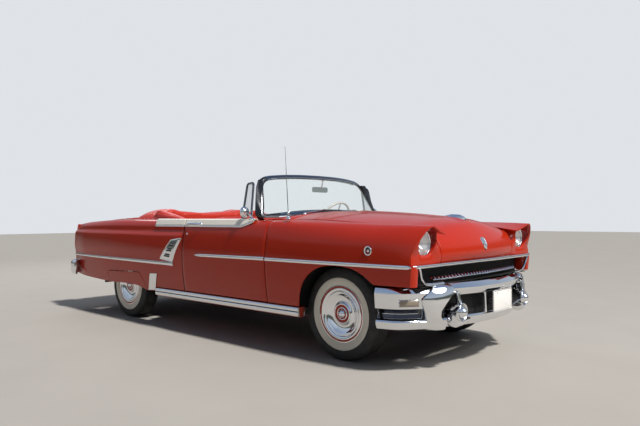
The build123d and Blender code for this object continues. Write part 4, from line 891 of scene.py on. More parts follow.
def skirt():
    """Panel over the top of the rear wheel opening."""
    rows = []
    for x in sorted(list(np.linspace(-1.5745, -0.757, 60))
                    + [-1.575, -1.568, -1.560, -1.548, -0.915, -0.900, -0.875, -0.83]):
        low = at_x(SKIRT_LOW, x)
        high = max(quarter_low(x) - 0.007, low + 0.004)
        rows.append([(x, side_y(x, z) + 0.001, z) for z in np.linspace(low, high, 10)])
    return Form().sheet(rows, SHEET, (0, 1, 0), None, True)


# Hood, cowl, deck and lid


def crowned(table, counts, peak=0.0):
    """Rows of a crowned panel whose middle and seam lines come from a table."""
    mid = curve_through([(a, b) for a, b, _, _, _ in table], counts[0])
    seam = curve_through([(c, d, e) for _, _, c, d, e in table], counts[0])
    rows = []
    for (mx, mz), (sx, sz, half) in zip(mid, seam):
        row = []
        for t in np.linspace(-1, 1, counts[1]):
            k = abs(t) ** 2.0
            ridge = peak * (np.exp(-(t * half / 0.035) ** 2)) * step(0.0, 0.25, abs(mx - table[-1][0]))
            row.append((mx + (sx - mx) * k, t * half, mz + (sz - mz) * k + ridge))
        rows.append(row)
    return rows


def hood():
    return Form().sheet(crowned(HOOD, (72, 61), peak=0.006), 0.014, (0.3, 0, 1))


def trunk_lid():
    return Form().sheet(crowned(LID, (64, 49)), 0.014, (-0.3, 0, 1))


def deck():
    """Panel ahead of the trunk lid, and the bulkhead behind the rear seat."""
    rows = []
    for x in np.linspace(DECK_REAR, -1.440, 6):
        rows.append([(x, t * 0.740, 1.106 - (1.106 - 1.067) * abs(t) ** 2 - 0.0025)
                     for t in np.linspace(-1, 1, 61)])
    form = Form().sheet(rows, 0.03, (0, 0, 1))
    form.sheet([[(-0.893, y, z) for y in (-0.60, 0, 0.60)] for z in (0.565, 0.8, 1.025)], 0.006,
               (1, 0, 0))
    return form


def rear_panel():
    rows = []
    low, high, half = 0.407, 0.633, 0.790
    for z in np.linspace(low, high, 12):
        out = 0.012 + 0.008 * sin((z - low) / (high - low) * pi)
        rows.append([(-2.471 - 0.018 * (1 - (y / 0.792) ** 2) - out, y, z)
                     for y in np.linspace(-half, half, 41)])
    return Form().sheet(rows, 0.012, (-1, 0, 0))


def glass_x(y, z):
    """Outer face of the windshield glass."""
    t = (z - 0.94) / 0.51
    centre, end, half = 1.070 - 0.294 * t, 0.911 - 0.221 * t, 0.834 - 0.174 * t
    return centre - (centre - end) * (y / half) ** 2


def cowl():
    """Panel from the hood to the windshield, and on to the foot of the glass."""
    form = Form()
    rows = []
    for t in np.linspace(0, 1, 26):
        row = []
        for s in np.linspace(-1, 1, 61):
            y = s * (0.634 + 0.006 * (1 - t))
            x = 1.284 + (FENDER_REAR + 0.004 - 1.284) * t
            z = 1.056 + 0.068 * (1 - abs(s) ** 2) + 0.002 * t
            row.append((x, y, z))
        rows.append(row)
    form.sheet(rows, 0.012, (0, 0, 1))
    rows = []
    for t in np.linspace(0, 1, 20):
        row = []
        for s in np.linspace(-1, 1, 61):
            y = s * (0.640 + 0.148 * t ** 0.6)
            z0 = 1.056 + 0.068 * (1 - s * s) + 0.002
            x0 = FENDER_REAR + 0.003
            x1 = glass_x(y, 1.085) + 0.004
            z1 = 1.046 + 0.068 * (1 - (y / 0.79) ** 2)
            row.append((x0 + (x1 - x0) * t, y, z0 + (z1 - z0) * t))
        rows.append(row)
    form.sheet(rows, 0.010, (0, 0, 1))
    return form


def body_shell():
    front_end()
    pair("door_skin", door(), RED, DOOR_BODIES, "body_red", ["door"], bevel=0.002)
    pair("door_inner_panel", door_inside(), [SEAT_RED, CARPET, CHROME, SEAT_WHITE],
         DOOR_BODIES, "seat_red")
    pair("rear_quarter_skin", rear_quarter(), RED, SAME_BODY, "body_red", ["rear_quarter"], fix=False)
    make("rear_skirts", skirt().both(), RED, "body", "body_red", ["fender_skirts"], bevel=0.002)
    pair("rear_wheel_house", wheel_liner(REAR_AXLE, 0.404, 0.606, 0.898, 0.44), SHADE_BLACK, SAME_BODY,
         "frame_black")
    make("hood_skin", hood(), RED, "hood_body", "body_red", ["hood"], bevel=0.0025)
    make("trunk_lid_skin", trunk_lid(), RED, "lid_body", "body_red", ["trunk_lid"], bevel=0.0025)
    make("deck_skin", deck(), RED, "body", "body_red", ["deck"])
    make("rear_panel_skin", rear_panel(), RED, "body", "body_red", ["rear_panel"])
    make("cowl_top", cowl(), RED, "body", "body_red")


# Wheels


def tyre_form():
    """Tyre about the origin, outboard towards +Y: ribbed tread, whitewall and beads."""
    profile = [(0.075, 0.2035), (0.078, 0.212), (0.0795, 0.2150), (0.0835, 0.228), (0.0868, 0.242),
               (0.0882, 0.256), (0.0884, 0.2665), (0.0868, 0.2690), (0.0880, 0.2715), (0.0884, 0.284),
               (0.0872, 0.300), (0.0842, 0.316), (0.0800, 0.328), (0.0770, 0.334), (0.0745, 0.3385),
               (0.069, 0.3425), (0.0625, 0.3455)]
    ribs = []
    edges = [0.0600, 0.0460, 0.0300, 0.0130, -0.0130, -0.0300, -0.0460, -0.0600]
    for i, e in enumerate(edges):
        depth, w = 0.0075, 0.0022
        r = 0.3499 - 0.0022 * (abs(e) / 0.06) ** 2
        ribs += [(e + w, r), (e + w * 0.7, r - depth), (e - w * 0.7, r - depth), (e - w, r)]
    inner = [(-u, r) for u, r in profile[::-1]]
    full = profile + [(0.0625, 0.3475)] + ribs + [(-0.0625, 0.3475)] + inner
    bore = [(-0.060, 0.2035), (0.060, 0.2035)]
    form = Form()
    whole = full + bore
    rows = []
    segments = 128
    for k in range(segments):
        a = 2 * pi * k / segments
        rows.append([(r * cos(a), u, r * sin(a)) for u, r in whole])
    form.grid(rows, close_u=True, close_v=True)
    n = len(whole)
    for index in range(len(form.faces)):
        i = index % n
        (u0, r0), (_, r1) = whole[i], whole[(i + 1) % n]
        if u0 > 0.07 and 0.2120 <= r0 and r1 <= 0.2692:
            form.mats[index] = 1
    return form


def hub_cover():
    """Full wheel cover about the origin: bright rim, red ring, dished chrome and a red-ringed cone."""
    form = Form()
    stretches = [
        (0, [(-0.060, 0.2020), (0.060, 0.2020), (0.0745, 0.2045), (0.0810, 0.2125), (0.0830, 0.2120),
             (0.0820, 0.2060)]),
        (1, [(0.0820, 0.2060), (0.0815, 0.2010), (0.0800, 0.1955)]),
        (0, [(0.0800, 0.1955), (0.0830, 0.1935), (0.0850, 0.1890), (0.0842, 0.1800), (0.0790, 0.1700),
             (0.0740, 0.1650)]),
        (0, [(0.0740, 0.1650), (0.0770, 0.1620), (0.0772, 0.1580), (0.0730, 0.1490), (0.0640, 0.1350),
             (0.0560, 0.1180),
             (0.0520, 0.1020), (0.0530, 0.0900), (0.0600, 0.0800)]),
        (0, [(0.0600, 0.0800), (0.0660, 0.0770), (0.0690, 0.0720), (0.0680, 0.0680)]),
        (1, [(0.0680, 0.0680), (0.0640, 0.0600), (0.0625, 0.0500)]),
        (0, [(0.0625, 0.0500), (0.0680, 0.0480), (0.0700, 0.0440), (0.0690, 0.0410)]),
        (1, [(0.0690, 0.0410), (0.0670, 0.0360), (0.0680, 0.0320)]),
        (0, [(0.0680, 0.0320), (0.0740, 0.0310), (0.0860, 0.0200), (0.0930, 0.0080), (0.0940, 0.0001)]), ]
    for mat, profile in stretches:
        form.mat = mat
        if len(profile) > 3:
            profile = curve_through(profile, len(profile) * 3)
        form.lathe(profile, ORIGIN, segments=96)
    # Inner side of the wheel: disc and rim barrel.
    form.mat = 2
    form.lathe([(-0.060, 0.2020), (-0.0810, 0.2120), (-0.0790, 0.2130), (-0.0750, 0.2010),
                (-0.0600, 0.1900), (0.010, 0.1850),
                (0.020, 0.1750), (0.018, 0.1200), (0.000, 0.1150), (0.000, 0.0215)], ORIGIN, segments=64)
    return form


def wheels():
    tyre, cover = tyre_form(), hub_cover()
    for end, x, y0 in (("front", FRONT_AXLE, FRONT_WHEEL_Y), ("rear", REAR_AXLE, REAR_WHEEL_Y)):
        for side, sign in (("left", 1), ("right", -1)):
            body = f"wheel_body_{end}_{side}"
            place = (x, y0, WHEEL_Z)
            forms = [Form().add(f, place) for f in (tyre, cover)]
            if sign < 0:
                forms = [f.mirrored() for f in forms]
            make(f"tyre_rubber_{end}_{side}", forms[0], [TYRE, WHITEWALL], body, "tyre",
                 [f"tyre_{end}_{side}"], fix=True, angle=40)
            make(f"wheel_cover_{end}_{side}", forms[1], [CHROME, RED, BLACK], body, "wheel_chrome",
                 [f"wheel_{end}_{side}"], angle=30)


# Bumpers


# Dark plating for the hollow between the front bumper bars: painted dark reflection.
REFLECTION_DARK_PLATING = chrome("painted_reflection_hollow_plating", (0.10, 0.10, 0.11), 0.10, 0.25)


def bumper_line(points, count):
    """Plan curve from one end of a bumper round to the other, with its outward normals."""
    half = curve_through(points, count)
    line = np.concatenate([half[::-1], half[1:] * (1, -1)])
    t = np.gradient(line, axis=0)
    n = np.stack([t[:, 1], -t[:, 0]], axis=1)
    n /= np.linalg.norm(n, axis=1, keepdims=True)
    ahead = 1 if points[0][0] > 0 else -1
    if n[len(n) // 2][0] * ahead < 0:
        n = -n
    return line, n


def along(line, normals, shape, keep=lambda y: True):
    """Rows along a plan line; shape gives the points of out, z for a position y."""
    return [[(x + nx * out, y + ny * out, z) for out, z in shape(y)]
            for (x, y), (nx, ny) in zip(line, normals) if keep(y)]


def bar(form, line, normals, shape):
    """Closed bar along a plan line."""
    return form.grid(along(line, normals, shape), close_u=True, cap=True)


FRONT_LINE = [(2.606, 0.0), (2.585, 0.26), (2.511, 0.53), (2.392, 0.806), (2.290, 0.912), (2.150, 0.958)]
REAR_LINE = [(-2.620, 0.0), (-2.617, 0.35), (-2.606, 0.640), (-2.575, 0.850), (-2.480, 0.935),
             (-2.330, 0.962)]


def upright(form, rows, y, chamfer, depth):
    """Pointed upright at y from rows of z, x of its edge and half width."""
    form.grid([[(x, y, z), (x - chamfer, y + half, z), (x - depth, y + half, z), (x - depth, y - half, z),
                (x - chamfer, y - half, z)] for z, x, half in rows], close_u=True, cap=True)


def front_bars(line, n):
    """Upper and lower bars and the hollow between them."""

    def upper(y):
        rise = 0.012 * step(0.55, 0.85, abs(y))
        mid = 1 - step(0.56, 0.68, abs(y))
        return [(0.0, 0.553 + 0.020 * mid), (-0.020, 0.575 + rise + 0.012 * mid),
                (-0.046, 0.588 + rise + 0.018 * mid),
                (-0.058, 0.586 + rise + 0.016 * mid), (-0.060, 0.560 + 0.010 * mid),
                (-0.056, 0.452 + 0.074 * mid),
                (-0.044, 0.444 + 0.076 * mid), (-0.014, 0.448 + 0.078 * mid),
                (-0.006, 0.500 + 0.048 * mid)]

    def lower(y):
        mid = 1 - step(0.50, 0.62, abs(y))
        top, low = 0.368 + 0.010 * mid, 0.304
        return [(-0.022, top - 0.012), (-0.030, top), (-0.050, top + 0.002), (-0.075, top - 0.006),
                (-0.078, low + 0.010),
                (-0.060, low), (-0.044, low + 0.002), (-0.026, (top + low) / 2)]

    form = Form()
    bar(form, line, n, upper)
    bar(form, line, n, lower)
    # Shadowed hollow between the bars from each guard round to its end, in dark plating as painted
    # reflection.
    form.mat = 1
    hollow = ((-0.030, 0.447), (-0.060, 0.440), (-0.075, 0.408), (-0.062, 0.376), (-0.034, 0.368))
    for side in (1, -1):
        rows = along(line, n, lambda y: hollow, lambda y: y * side > 0.60)
        form.sheet(rows, 0.004, (rows[0][2][0] - 1.5, rows[0][2][1], 0))
    make("front_bumper_bars", form, [CHROME, REFLECTION_DARK_PLATING], "body", "chrome", ["front_bumper"],
         bevel=0.0035, segments=2, angle=24)


def front_guards():
    """Broad guards joining the bars: rows of z, inner and outer corner in x, y, and depth."""
    guards = Form()
    rows = [
        (0.604, (2.486, 0.540), (2.424, 0.690), 0.045), (0.588, (2.514, 0.536), (2.452, 0.694), 0.065),
        (0.560, (2.529, 0.545), (2.446, 0.728), 0.075), (0.534, (2.530, 0.572), (2.432, 0.764), 0.080),
        (0.510, (2.526, 0.602), (2.422, 0.782), 0.080), (0.470, (2.512, 0.632), (2.424, 0.770), 0.080),
        (0.430, (2.498, 0.660), (2.424, 0.750), 0.080), (0.395, (2.496, 0.664), (2.424, 0.736), 0.080),
        (0.360, (2.500, 0.640), (2.418, 0.722), 0.080), (0.325, (2.498, 0.606), (2.404, 0.706), 0.080),
        (0.300, (2.484, 0.590), (2.392, 0.690), 0.070), (0.288, (2.466, 0.586), (2.376, 0.676), 0.060), ]
    loops = []
    for z, (xi, yi), (xo, yo), depth in rows:
        mx, my = (xi + xo) / 2 + 0.008, (yi + yo) / 2 + 0.005
        loops.append([(xi, yi, z), (mx, my, z), (xo, yo, z), (xo - depth, yo - 0.010, z),
                      (xi - depth, yi + 0.004, z)])
    guards.grid(loops, close_u=True, cap=True)
    make("front_bumper_guards", guards.both(), CHROME, "body", "chrome", bevel=0.005, segments=3,
         angle=20)


def bullets():
    """Bullet lamps with their blades and shoes, and the uprights beside the plate."""
    lamps = Form()
    place = (2.560, 0.500, 0.410)
    body = [(-0.185, 0.050), (-0.120, 0.058), (-0.040, 0.0635), (-0.004, 0.065), (0.006, 0.0645),
            (0.010, 0.060), (0.004, 0.056), (0.0, 0.055)]
    lamps.turned(body, 32, place, axis="x", segments=56)
    lamps.mat = 1
    lamps.lathe([(0.0, 0.055), (-0.003, 0.050), (0.0, 0.043)], place, axis="x", segments=56)
    lamps.mat = 0
    lamps.turned([(0.0, 0.043), (0.012, 0.036), (0.030, 0.020), (0.038, 0.001)], 14, place, axis="x",
                 segments=48)
    # Blade from the bullet up to the upper bar and its shoe over the lower one.
    blade = ((0.455, 2.566, 0.011), (0.480, 2.556, 0.010), (0.510, 2.548, 0.012), (0.545, 2.544, 0.020))
    upright(lamps, blade, 0.500, 0.006, 0.040)
    shoe = []
    for x, half, low in ((2.400, 0.052, 0.330), (2.470, 0.062, 0.312), (2.530, 0.062, 0.306),
                         (2.552, 0.052, 0.320)):
        sides = ((1.0, 0.400), (0.96, 0.350), (0.60, low), (-0.60, low), (-0.96, 0.350), (-1.0, 0.400))
        shoe.append([(x, 0.500 + half * share, z) for share, z in sides])
    lamps.grid(shoe, close_u=True, cap=True)
    # Upright beside the plate.
    post = ((0.375, 2.586, 0.012), (0.440, 2.582, 0.009), (0.500, 2.580, 0.010), (0.545, 2.580, 0.018))
    upright(lamps, post, 0.190, 0.005, 0.030)
    make("bumper_bullets", lamps.both(), [CHROME, BLACK], "body", "chrome", bevel=0.002, angle=32)


def front_irons():
    """Irons behind the bumper, and the filler between its bars, near black as painted shade."""
    irons = Form()
    irons.box((2.300, 0.385, 0.352), (2.560, 0.445, 0.364))
    irons.box((2.440, 0.385, 0.364), (2.452, 0.445, 0.470))
    make("front_bumper_irons", irons.both(), BLACK, "body", "frame_black", bevel=0.002)

    web = Form()
    rows = [[(2.505 - 0.10 * (y / 0.62) ** 2, y, z) for y in np.linspace(-0.64, 0.64, 25)]
            for z in (0.31, 0.40, 0.55)]
    web.sheet(rows, 0.004, (1, 0, 0))
    make("bumper_filler", web, SHADE_BLACK, "body", "frame_black")


def front_plate():
    """Blank plate with its bright frame, brackets and bolts."""
    plate = Form()
    plate.prism(rounded(0.139, 0.070, 0.010, (0.0, 0.451)), "x", 2.6130, 2.6175)
    plate.mat = 1
    ring = rounded(0.146, 0.0765, 0.012, (0.0, 0.451))
    plate.tube([(2.6165, y, z) for y, z in ring], 0.0035, 8, closed=True)
    plate.box((2.560, -0.10, 0.440), (2.6125, -0.075, 0.462))
    plate.box((2.560, 0.075, 0.440), (2.6125, 0.10, 0.462))
    plate.prism(rounded(0.148, 0.078, 0.012, (0.0, 0.451)), "x", 2.6100, 2.6130)
    for y in (-0.089, 0.089):
        plate.lathe([(0.0, 0.0065), (0.0020, 0.0058), (0.0025, 0.0001)], (2.6175, y, 0.515 - 0.006),
                    axis="x", segments=6)
    make("blank_plate", plate, [PLATE_WHITE, CHROME], "body", "chrome", bevel=0.0008)


def parking_lamps(line, n):
    """Parking lamps in the ends of the upper bar."""
    parking = Form()
    lens = ((0.001, 0.466), (0.006, 0.470), (0.007, 0.487), (0.006, 0.506), (0.001, 0.510))
    rows = along(line, n, lambda y: lens, lambda y: -0.905 < y < -0.795)
    parking.sheet(rows, 0.005, (0.7, -0.7, 0))
    parking.mat = 1
    edge = [q for q in (rows[0], [r[-1] for r in rows], rows[-1][::-1], [r[0] for r in rows][::-1])
            for q in q]
    parking.tube(edge, 0.0022, 8, closed=True)
    make("parking_lamps", parking.both(), [AMBER_LENS, CHROME], "body", "lamp_glass", angle=50)


def front_bumper():
    line, n = bumper_line(FRONT_LINE, 60)
    front_bars(line, n)
    front_guards()
    bullets()
    front_irons()
    front_plate()
    parking_lamps(line, n)


def rounded(half_u, half_v, radius, centre, steps=6):
    """Outline of a rounded rectangle."""
    out = []
    for su, sv, start in ((1, 1, 0), (-1, 1, 90), (-1, -1, 180), (1, -1, 270)):
        for k in range(steps + 1):
            a = radians(start + 90 * k / steps)
            out.append((centre[0] + su * (half_u - radius) + radius * cos(a),
                        centre[1] + sv * (half_v - radius) + radius * sin(a)))
    return out


def rear_bumper():
    line, n = bumper_line(REAR_LINE, 50)
    loop = [(0.0, 0.535), (-0.012, 0.560), (-0.034, 0.575), (-0.042, 0.570), (-0.042, 0.410),
            (-0.030, 0.402), (-0.008, 0.425), (0.0, 0.445)]
    form = Form()
    bar(form, line, n, lambda y: loop)
    loops = []
    for z, x, inner, outer in ((0.340, -2.574, 0.482, 0.558), (0.380, -2.600, 0.474, 0.570),
                               (0.430, -2.6125, 0.470, 0.575), (0.555, -2.6135, 0.470, 0.575),
                               (0.600, -2.600, 0.476, 0.568),
                               (0.620, -2.580, 0.486, 0.556)):
        loops.append([(x + 0.010, inner, z), (x, inner + 0.02, z), (x, outer - 0.02, z),
                      (x + 0.010, outer, z),
                      (x + 0.055, outer, z), (x + 0.055, inner, z)])
    guard = Form().grid(loops, close_u=True, cap=True)
    form.add(guard.both())
    make("rear_bumper_bar", form, CHROME, "body", "chrome", ["rear_bumper"], bevel=0.004, segments=2,
         angle=24)
    irons = Form().box((-2.575, 0.385, 0.342), (-2.440, 0.445, 0.402))
    make("rear_bumper_irons", irons.both(), BLACK, "body", "frame_black", bevel=0.002)


# Grille, lamps and small bright pieces


def grille():
    form = Form()
    # Lip moulding under the nose, carried round to the spears.
    path = curve_through([(2.4270, 0.905, 0.736), (2.440, 0.870, 0.736), (2.4440, 0.80, 0.736),
                          (2.450, 0.55, 0.736), (2.4600, 0.28, 0.736), (2.4640, 0.0, 0.736)], 40)
    path = np.concatenate([path, (path[:-1] * (1, -1, 1))[::-1]])
    form.tube(path, (0.0115, 0.0075), 12, squeeze=(0, 0, 1))
    # Bright returns down both ends of the opening and along its foot.
    end = curve_through([(2.440, 0.845, 0.728), (2.438, 0.832, 0.700), (2.432, 0.808, 0.655),
                         (2.430, 0.770, 0.622), (2.436, 0.700, 0.610), (2.448, 0.560, 0.608)], 40)
    for sign in (1, -1):
        form.tube([(x, y * sign, z) for x, y, z in end], (0.010, 0.014), 12)
    # Toothed bar, bowed in plan.
    half = 0.640

    def bow(y, ahead=0.0):
        return 2.436 + ahead - 0.030 * (y / half) ** 2

    ys = np.linspace(-half, half, 41)
    form.tube([(bow(y), y, 0.634) for y in ys], (0.007, 0.012), 12, squeeze=(0, 0, 1))
    # The thin bar under the teeth is dark red as a painted reflection on chrome.
    form.mat = 1
    form.tube([(bow(y, -0.012), y, 0.6445) for y in ys], (0.004, 0.008), 8, squeeze=(0, 0, 1))
    form.mat = 0
    count = 30
    for i in range(count):
        y = (i - (count - 1) / 2) * 2 * half / count
        x = bow(y)
        w = 0.0120
        tooth = [
            [(x - 0.014, y - w, 0.638), (x + 0.006, y - w * 0.8, 0.640), (x + 0.018, y, 0.641),
             (x + 0.006, y + w * 0.8, 0.640), (x - 0.014, y + w, 0.638)],
            [(x - 0.014, y - w * 0.5, 0.650), (x + 0.001, y - w * 0.4, 0.651), (x + 0.009, y, 0.652),
             (x + 0.001, y + w * 0.4, 0.651), (x - 0.014, y + w * 0.5, 0.650)],
            [(x - 0.013, y - w * 0.1, 0.661), (x - 0.009, y - w * 0.1, 0.661), (x - 0.007, y, 0.6615),
             (x - 0.009, y + w * 0.1, 0.661), (x - 0.013, y + w * 0.1, 0.661)],
        ]
        form.grid(tooth, close_u=True, cap=True)
    make("grille_bright", form, [CHROME, SHADE_AND_REFLECTION_RED], "body", "chrome", ["grille"], angle=28)
    # Sheets in the opening behind the bar, near black as painted shade.
    cavity = Form()
    rows = []
    for z in np.linspace(0.598, 0.728, 6):
        rows.append([(2.370 - 0.03 * (y / 0.82) ** 2, y, z) for y in np.linspace(-0.82, 0.82, 31)])
    cavity.sheet(rows, 0.004, (1, 0, 0))
    cavity.sheet([[(x, y, 0.600) for y in (-0.82, 0, 0.82)] for x in (2.26, 2.44)], 0.004, (0, 0, 1))
    cavity.sheet([[(x, y, 0.732) for y in (-0.83, 0, 0.83)] for x in (2.26, 2.43)], 0.003, (0, 0, 1))
    make("grille_cavity", cavity, SHADE_BLACK, "body", "frame_black")


def headlamps():
    form = Form()
    x, y, z = 2.392, LAMP[1], LAMP[2]
    form.mat = 0
    ring = curve_through([(0.0, 0.0915), (0.010, 0.0905), (0.0135, 0.0865), (0.011, 0.0825),
                          (0.003, 0.0815)], 16)
    form.lathe(ring, (x, y, z), axis="x", segments=72)
    form.mat = 1
    bowl = [(0.004, 0.0820)] + [(0.004 - 0.052 * (1 - (r / 0.082) ** 2), r)
                                for r in np.linspace(0.080, 0.001, 12)]
    form.lathe(bowl, (x, y, z), axis="x", segments=48)
    form.mat = 0
    form.lathe([(-0.046, 0.010), (-0.028, 0.010), (-0.024, 0.0001)], (x, y, z), axis="x", segments=20)
    make("headlamp_bowls", form.both(), [CHROME, CHROME], "body", "lamp_glass", ["lamps"], angle=40)
    lens = Form()
    rows = []
    for r in np.linspace(0.0005, 0.0825, 22):
        row = []
        for k in range(72):
            a = 2 * pi * k / 72
            u, v = r * cos(a), r * sin(a)
            flute = 0.0006 * abs(sin(u / 0.0085 * pi)) if abs(v) < 0.060 else 0.0
            row.append((x + 0.004 + 0.018 * (1 - (r / 0.0825) ** 2) + flute, y + u, z + v))
        rows.append(row)
    lens.grid(rows, close_u=True)
    make("headlamp_lenses", lens.both(), LENS, "body", "lamp_glass", angle=60)


def tail_lamps():
    form = Form()
    loops = []
    for z, back, half in ((0.800, -2.510, 0.026), (0.830, -2.522, 0.032), (0.880, -2.527, 0.034),
                          (0.930, -2.525, 0.034),
                          (0.970, -2.514, 0.031), (0.995, -2.496, 0.024)):
        base = tail_edge(z) - 0.001
        loops.append([(base, 0.804 - half, z), (back + 0.006, 0.804 - half * 0.9, z),
                      (back, 0.804 - half * 0.5, z), (back - 0.001, 0.804, z),
                      (back, 0.804 + half * 0.5, z), (back + 0.006, 0.804 + half * 0.9, z),
                      (base, 0.804 + half, z)])
    form.grid(loops, close_u=True, cap=True)
    form.mat = 1
    for z in (0.803, 0.990):
        form.tube([(tail_edge(z) - 0.004 - (0.016 if 0 < k < 6 else 0), 0.804 + 0.030 * (k / 3 - 1), z)
                   for k in range(7)], 0.0045, 8)
    ring = [(tail_edge(z) - 0.003, 0.804 + s * w, z) for s,
            zs in ((1, np.linspace(0.797, 0.997, 12)), (-1, np.linspace(0.997, 0.797, 12)))
            for z, w in zip(zs, [0.033 + 0.004 * sin(pi * (q - 0.797) / 0.2) for q in zs])]
    form.tube(ring, 0.005, 8, closed=True)
    make("tail_lamp_units", form.both(), [RED_LENS, CHROME], "body", "lamp_red", ["tail_lamps"],
         bevel=0.002, angle=35)


STRIP_POINTS = 7
STRIP_STAND = 0.0012


def strip(xs, z0, stand, half, form, z1=None, ends=(0.0, 0.0), grow=1.0):
    """Raised moulding along the body side, half-round in section with a fine ridge."""
    z1 = z0 if z1 is None else z1
    rows = []
    n = len(xs)
    for i, x in enumerate(xs):
        t = i / (n - 1)
        z = z0 + (z1 - z0) * t
        taper = min(1.0, (t / ends[0]) if ends[0] else 1.0, ((1 - t) / ends[1]) if ends[1] else 1.0)
        taper = 0.12 + 0.88 * sqrt(max(0.0, taper))
        out = []
        for k in range(STRIP_POINTS):
            a = pi * k / (STRIP_POINTS - 1)
            dz = -cos(a) * half * taper * (1 + (grow - 1) * t)
            bulge = stand * taper * (sin(a) ** 0.7)
            y = face_y(x, z + dz) + STRIP_STAND + bulge
            out.append((x, y, z + dz))
        out.append((x, face_y(x, z) - 0.003, z))
        rows.append(out)
    return form.grid(rows, close_u=True, cap=True)


def face_y(x, z):
    """Outer face of the side with the quarter's raised band, for trim that lies on it."""
    return side_y(x, z) + (pontoon(x, z) if x < QUARTER_FRONT else 0.0)


def patch(corners, count, stand, form, thick=0.005):
    """Trim that lies on the body side between four corners in side view."""
    (ax, az), (bx, bz), (cx, cz), (dx, dz) = corners
    rows = []
    for v in np.linspace(0, 1, count[1]):
        row = []
        for u in np.linspace(0, 1, count[0]):
            x = (ax + (bx - ax) * u) * (1 - v) + (dx + (cx - dx) * u) * v
            z = (az + (bz - az) * u) * (1 - v) + (dz + (cz - dz) * u) * v
            row.append((x, face_y(x, z) + stand, z))
        rows.append(row)
    return form.sheet(rows, thick, (0, 1, 0))


def spears():
    """Mouldings along the fender and the quarter."""
    fender = Form()
    strip(np.linspace(FENDER_REAR + 0.002, 2.425, 60), 0.735, 0.0085, 0.0140, fender, ends=(0.0, 0.02))
    make("fender_spears", fender.both(), CHROME, "body", "chrome", ["bright_trim"], angle=40)

    quarter = Form()
    strip(np.linspace(-2.492, -0.256, 70), 0.641, 0.0085, 0.0105, quarter, z1=0.630, grow=1.75)
    make("quarter_spears", quarter.both(), CHROME, "body", "chrome", angle=40)


def quarter_ornament():
    """Ornament behind the door: bright field and frame, dark louvres with a bright bar in each."""
    ornament = Form()
    corners = [(-0.484, 0.672), (-0.272, 0.650), (-0.135, 0.880), (-0.288, 0.860)]
    patch(corners, (14, 12), 0.0012, ornament, 0.010)
    ornament.mat = 1

    def at(u, v):
        return tuple((a + (b - a) * u) * (1 - v) + (d + (c - d) * u) * v
                     for a, b, c, d in zip(*corners))

    for v0, v1 in ((0.16, 0.32), (0.42, 0.58), (0.68, 0.84)):
        patch([at(0.20, v0), at(0.68, v0), at(0.64, v1), at(0.26, v1)], (8, 4), 0.0022, ornament, 0.003)
    ornament.mat = 0
    for v in (0.24, 0.50, 0.76):
        a, b = at(0.24, v), at(0.64, v)
        ornament.tube([(x, face_y(x, z) + 0.0022, z) for x, z in (a, b)], 0.0020, 8)
    edge = []
    for (x0, z0), (x1, z1) in zip(corners, corners[1:] + corners[:1]):
        for t in np.linspace(0, 1, 8, endpoint=False):
            x, z = x0 + (x1 - x0) * t, z0 + (z1 - z0) * t
            edge.append((x, face_y(x, z) + 0.0006, z))
    ornament.tube(edge, 0.0036, 8, closed=True)
    make("quarter_ornaments", ornament.both(), [CHROME, BLACK], "body", "chrome", bevel=0.001, angle=40)


def low_trim():
    """Stone guards ahead of the rear wheels and the ribbed mouldings along the sills."""
    guard = Form()
    patch([(-0.745, 0.343), (-0.617, 0.351), (-0.551, 0.523), (-0.683, 0.516)], (8, 10), 0.0075, guard,
          0.006)
    make("stone_guards", guard.both(), CHROME, "body", "chrome", bevel=0.002, angle=30)

    rocker = Form()

    def sill_out(z):
        return 0.915 + 0.007 * (z - 0.300) / 0.076

    rib = [(0.303, 0.0008), (0.306, 0.010), (0.318, 0.0165), (0.334, 0.0170), (0.3375, 0.0135),
           (0.3435, 0.0135), (0.347, 0.0165), (0.362, 0.0140), (0.372, 0.006), (0.3735, 0.0008)]
    groove = 4
    rows = [[(x, sill_out(z) + out, z) for z, out in rib] + [(x, sill_out(0.34) - 0.002, 0.34)]
            for x in np.linspace(-0.602, 1.398, 30)]
    rocker.grid(rows, close_u=True, cap=True)
    for index in range(len(rocker.faces) - 2):
        if index % len(rows[0]) == groove:
            rocker.mats[index] = 1
    make("rocker_mouldings", rocker.both(), [CHROME, BLACK], "body", "chrome", angle=30)


def roundel():
    """Plain round badge on the fender."""
    badge = Form()
    x, z = 2.084, 0.836
    centre = (x, side_y(x, z) - 0.001, z)
    badge.turned([(0.0, 0.034), (0.007, 0.033), (0.009, 0.028), (0.006, 0.024), (0.002, 0.0225)], 16,
                 centre, axis="y", segments=48)
    badge.mat = 1
    badge.lathe([(0.002, 0.0225), (0.0015, 0.012), (0.0015, 0.0001)], centre, axis="y", segments=32)
    badge.mat = 0
    badge.turned([(0.0015, 0.011), (0.005, 0.009), (0.0065, 0.0001)], 8, centre, axis="y", segments=24)
    make("fender_roundels", badge.both(), [CHROME, BLACK], "body", "chrome", angle=30)


def belt_and_door_trim():
    """White belt bands of quarter and door, and the door's spear."""
    quarter_belt = Form()
    belt_strip(quarter_belt, -0.608, QUARTER_FRONT - 0.002)
    make("quarter_belt_strips", quarter_belt.both(), [WHITE_PAINT, CHROME], "body", "chrome",
         bevel=0.0012, angle=40)

    door = Form()
    strip(np.linspace(0.087, DOOR_FRONT - 0.002, 34), 0.731, 0.0085, 0.0130, door, z1=0.737,
          ends=(0.10, 0.0), grow=1.2)
    door.mat = 0
    belt = Form()
    belt_strip(belt, DOOR_REAR + 0.002, 0.700, nose=0.852)
    pair("door_spear", door, CHROME, DOOR_BODIES, "chrome", ["door_trim"], angle=40)
    pair("door_belt_strip", belt, [WHITE_PAINT, CHROME], DOOR_BODIES, "chrome", bevel=0.0012, angle=40)


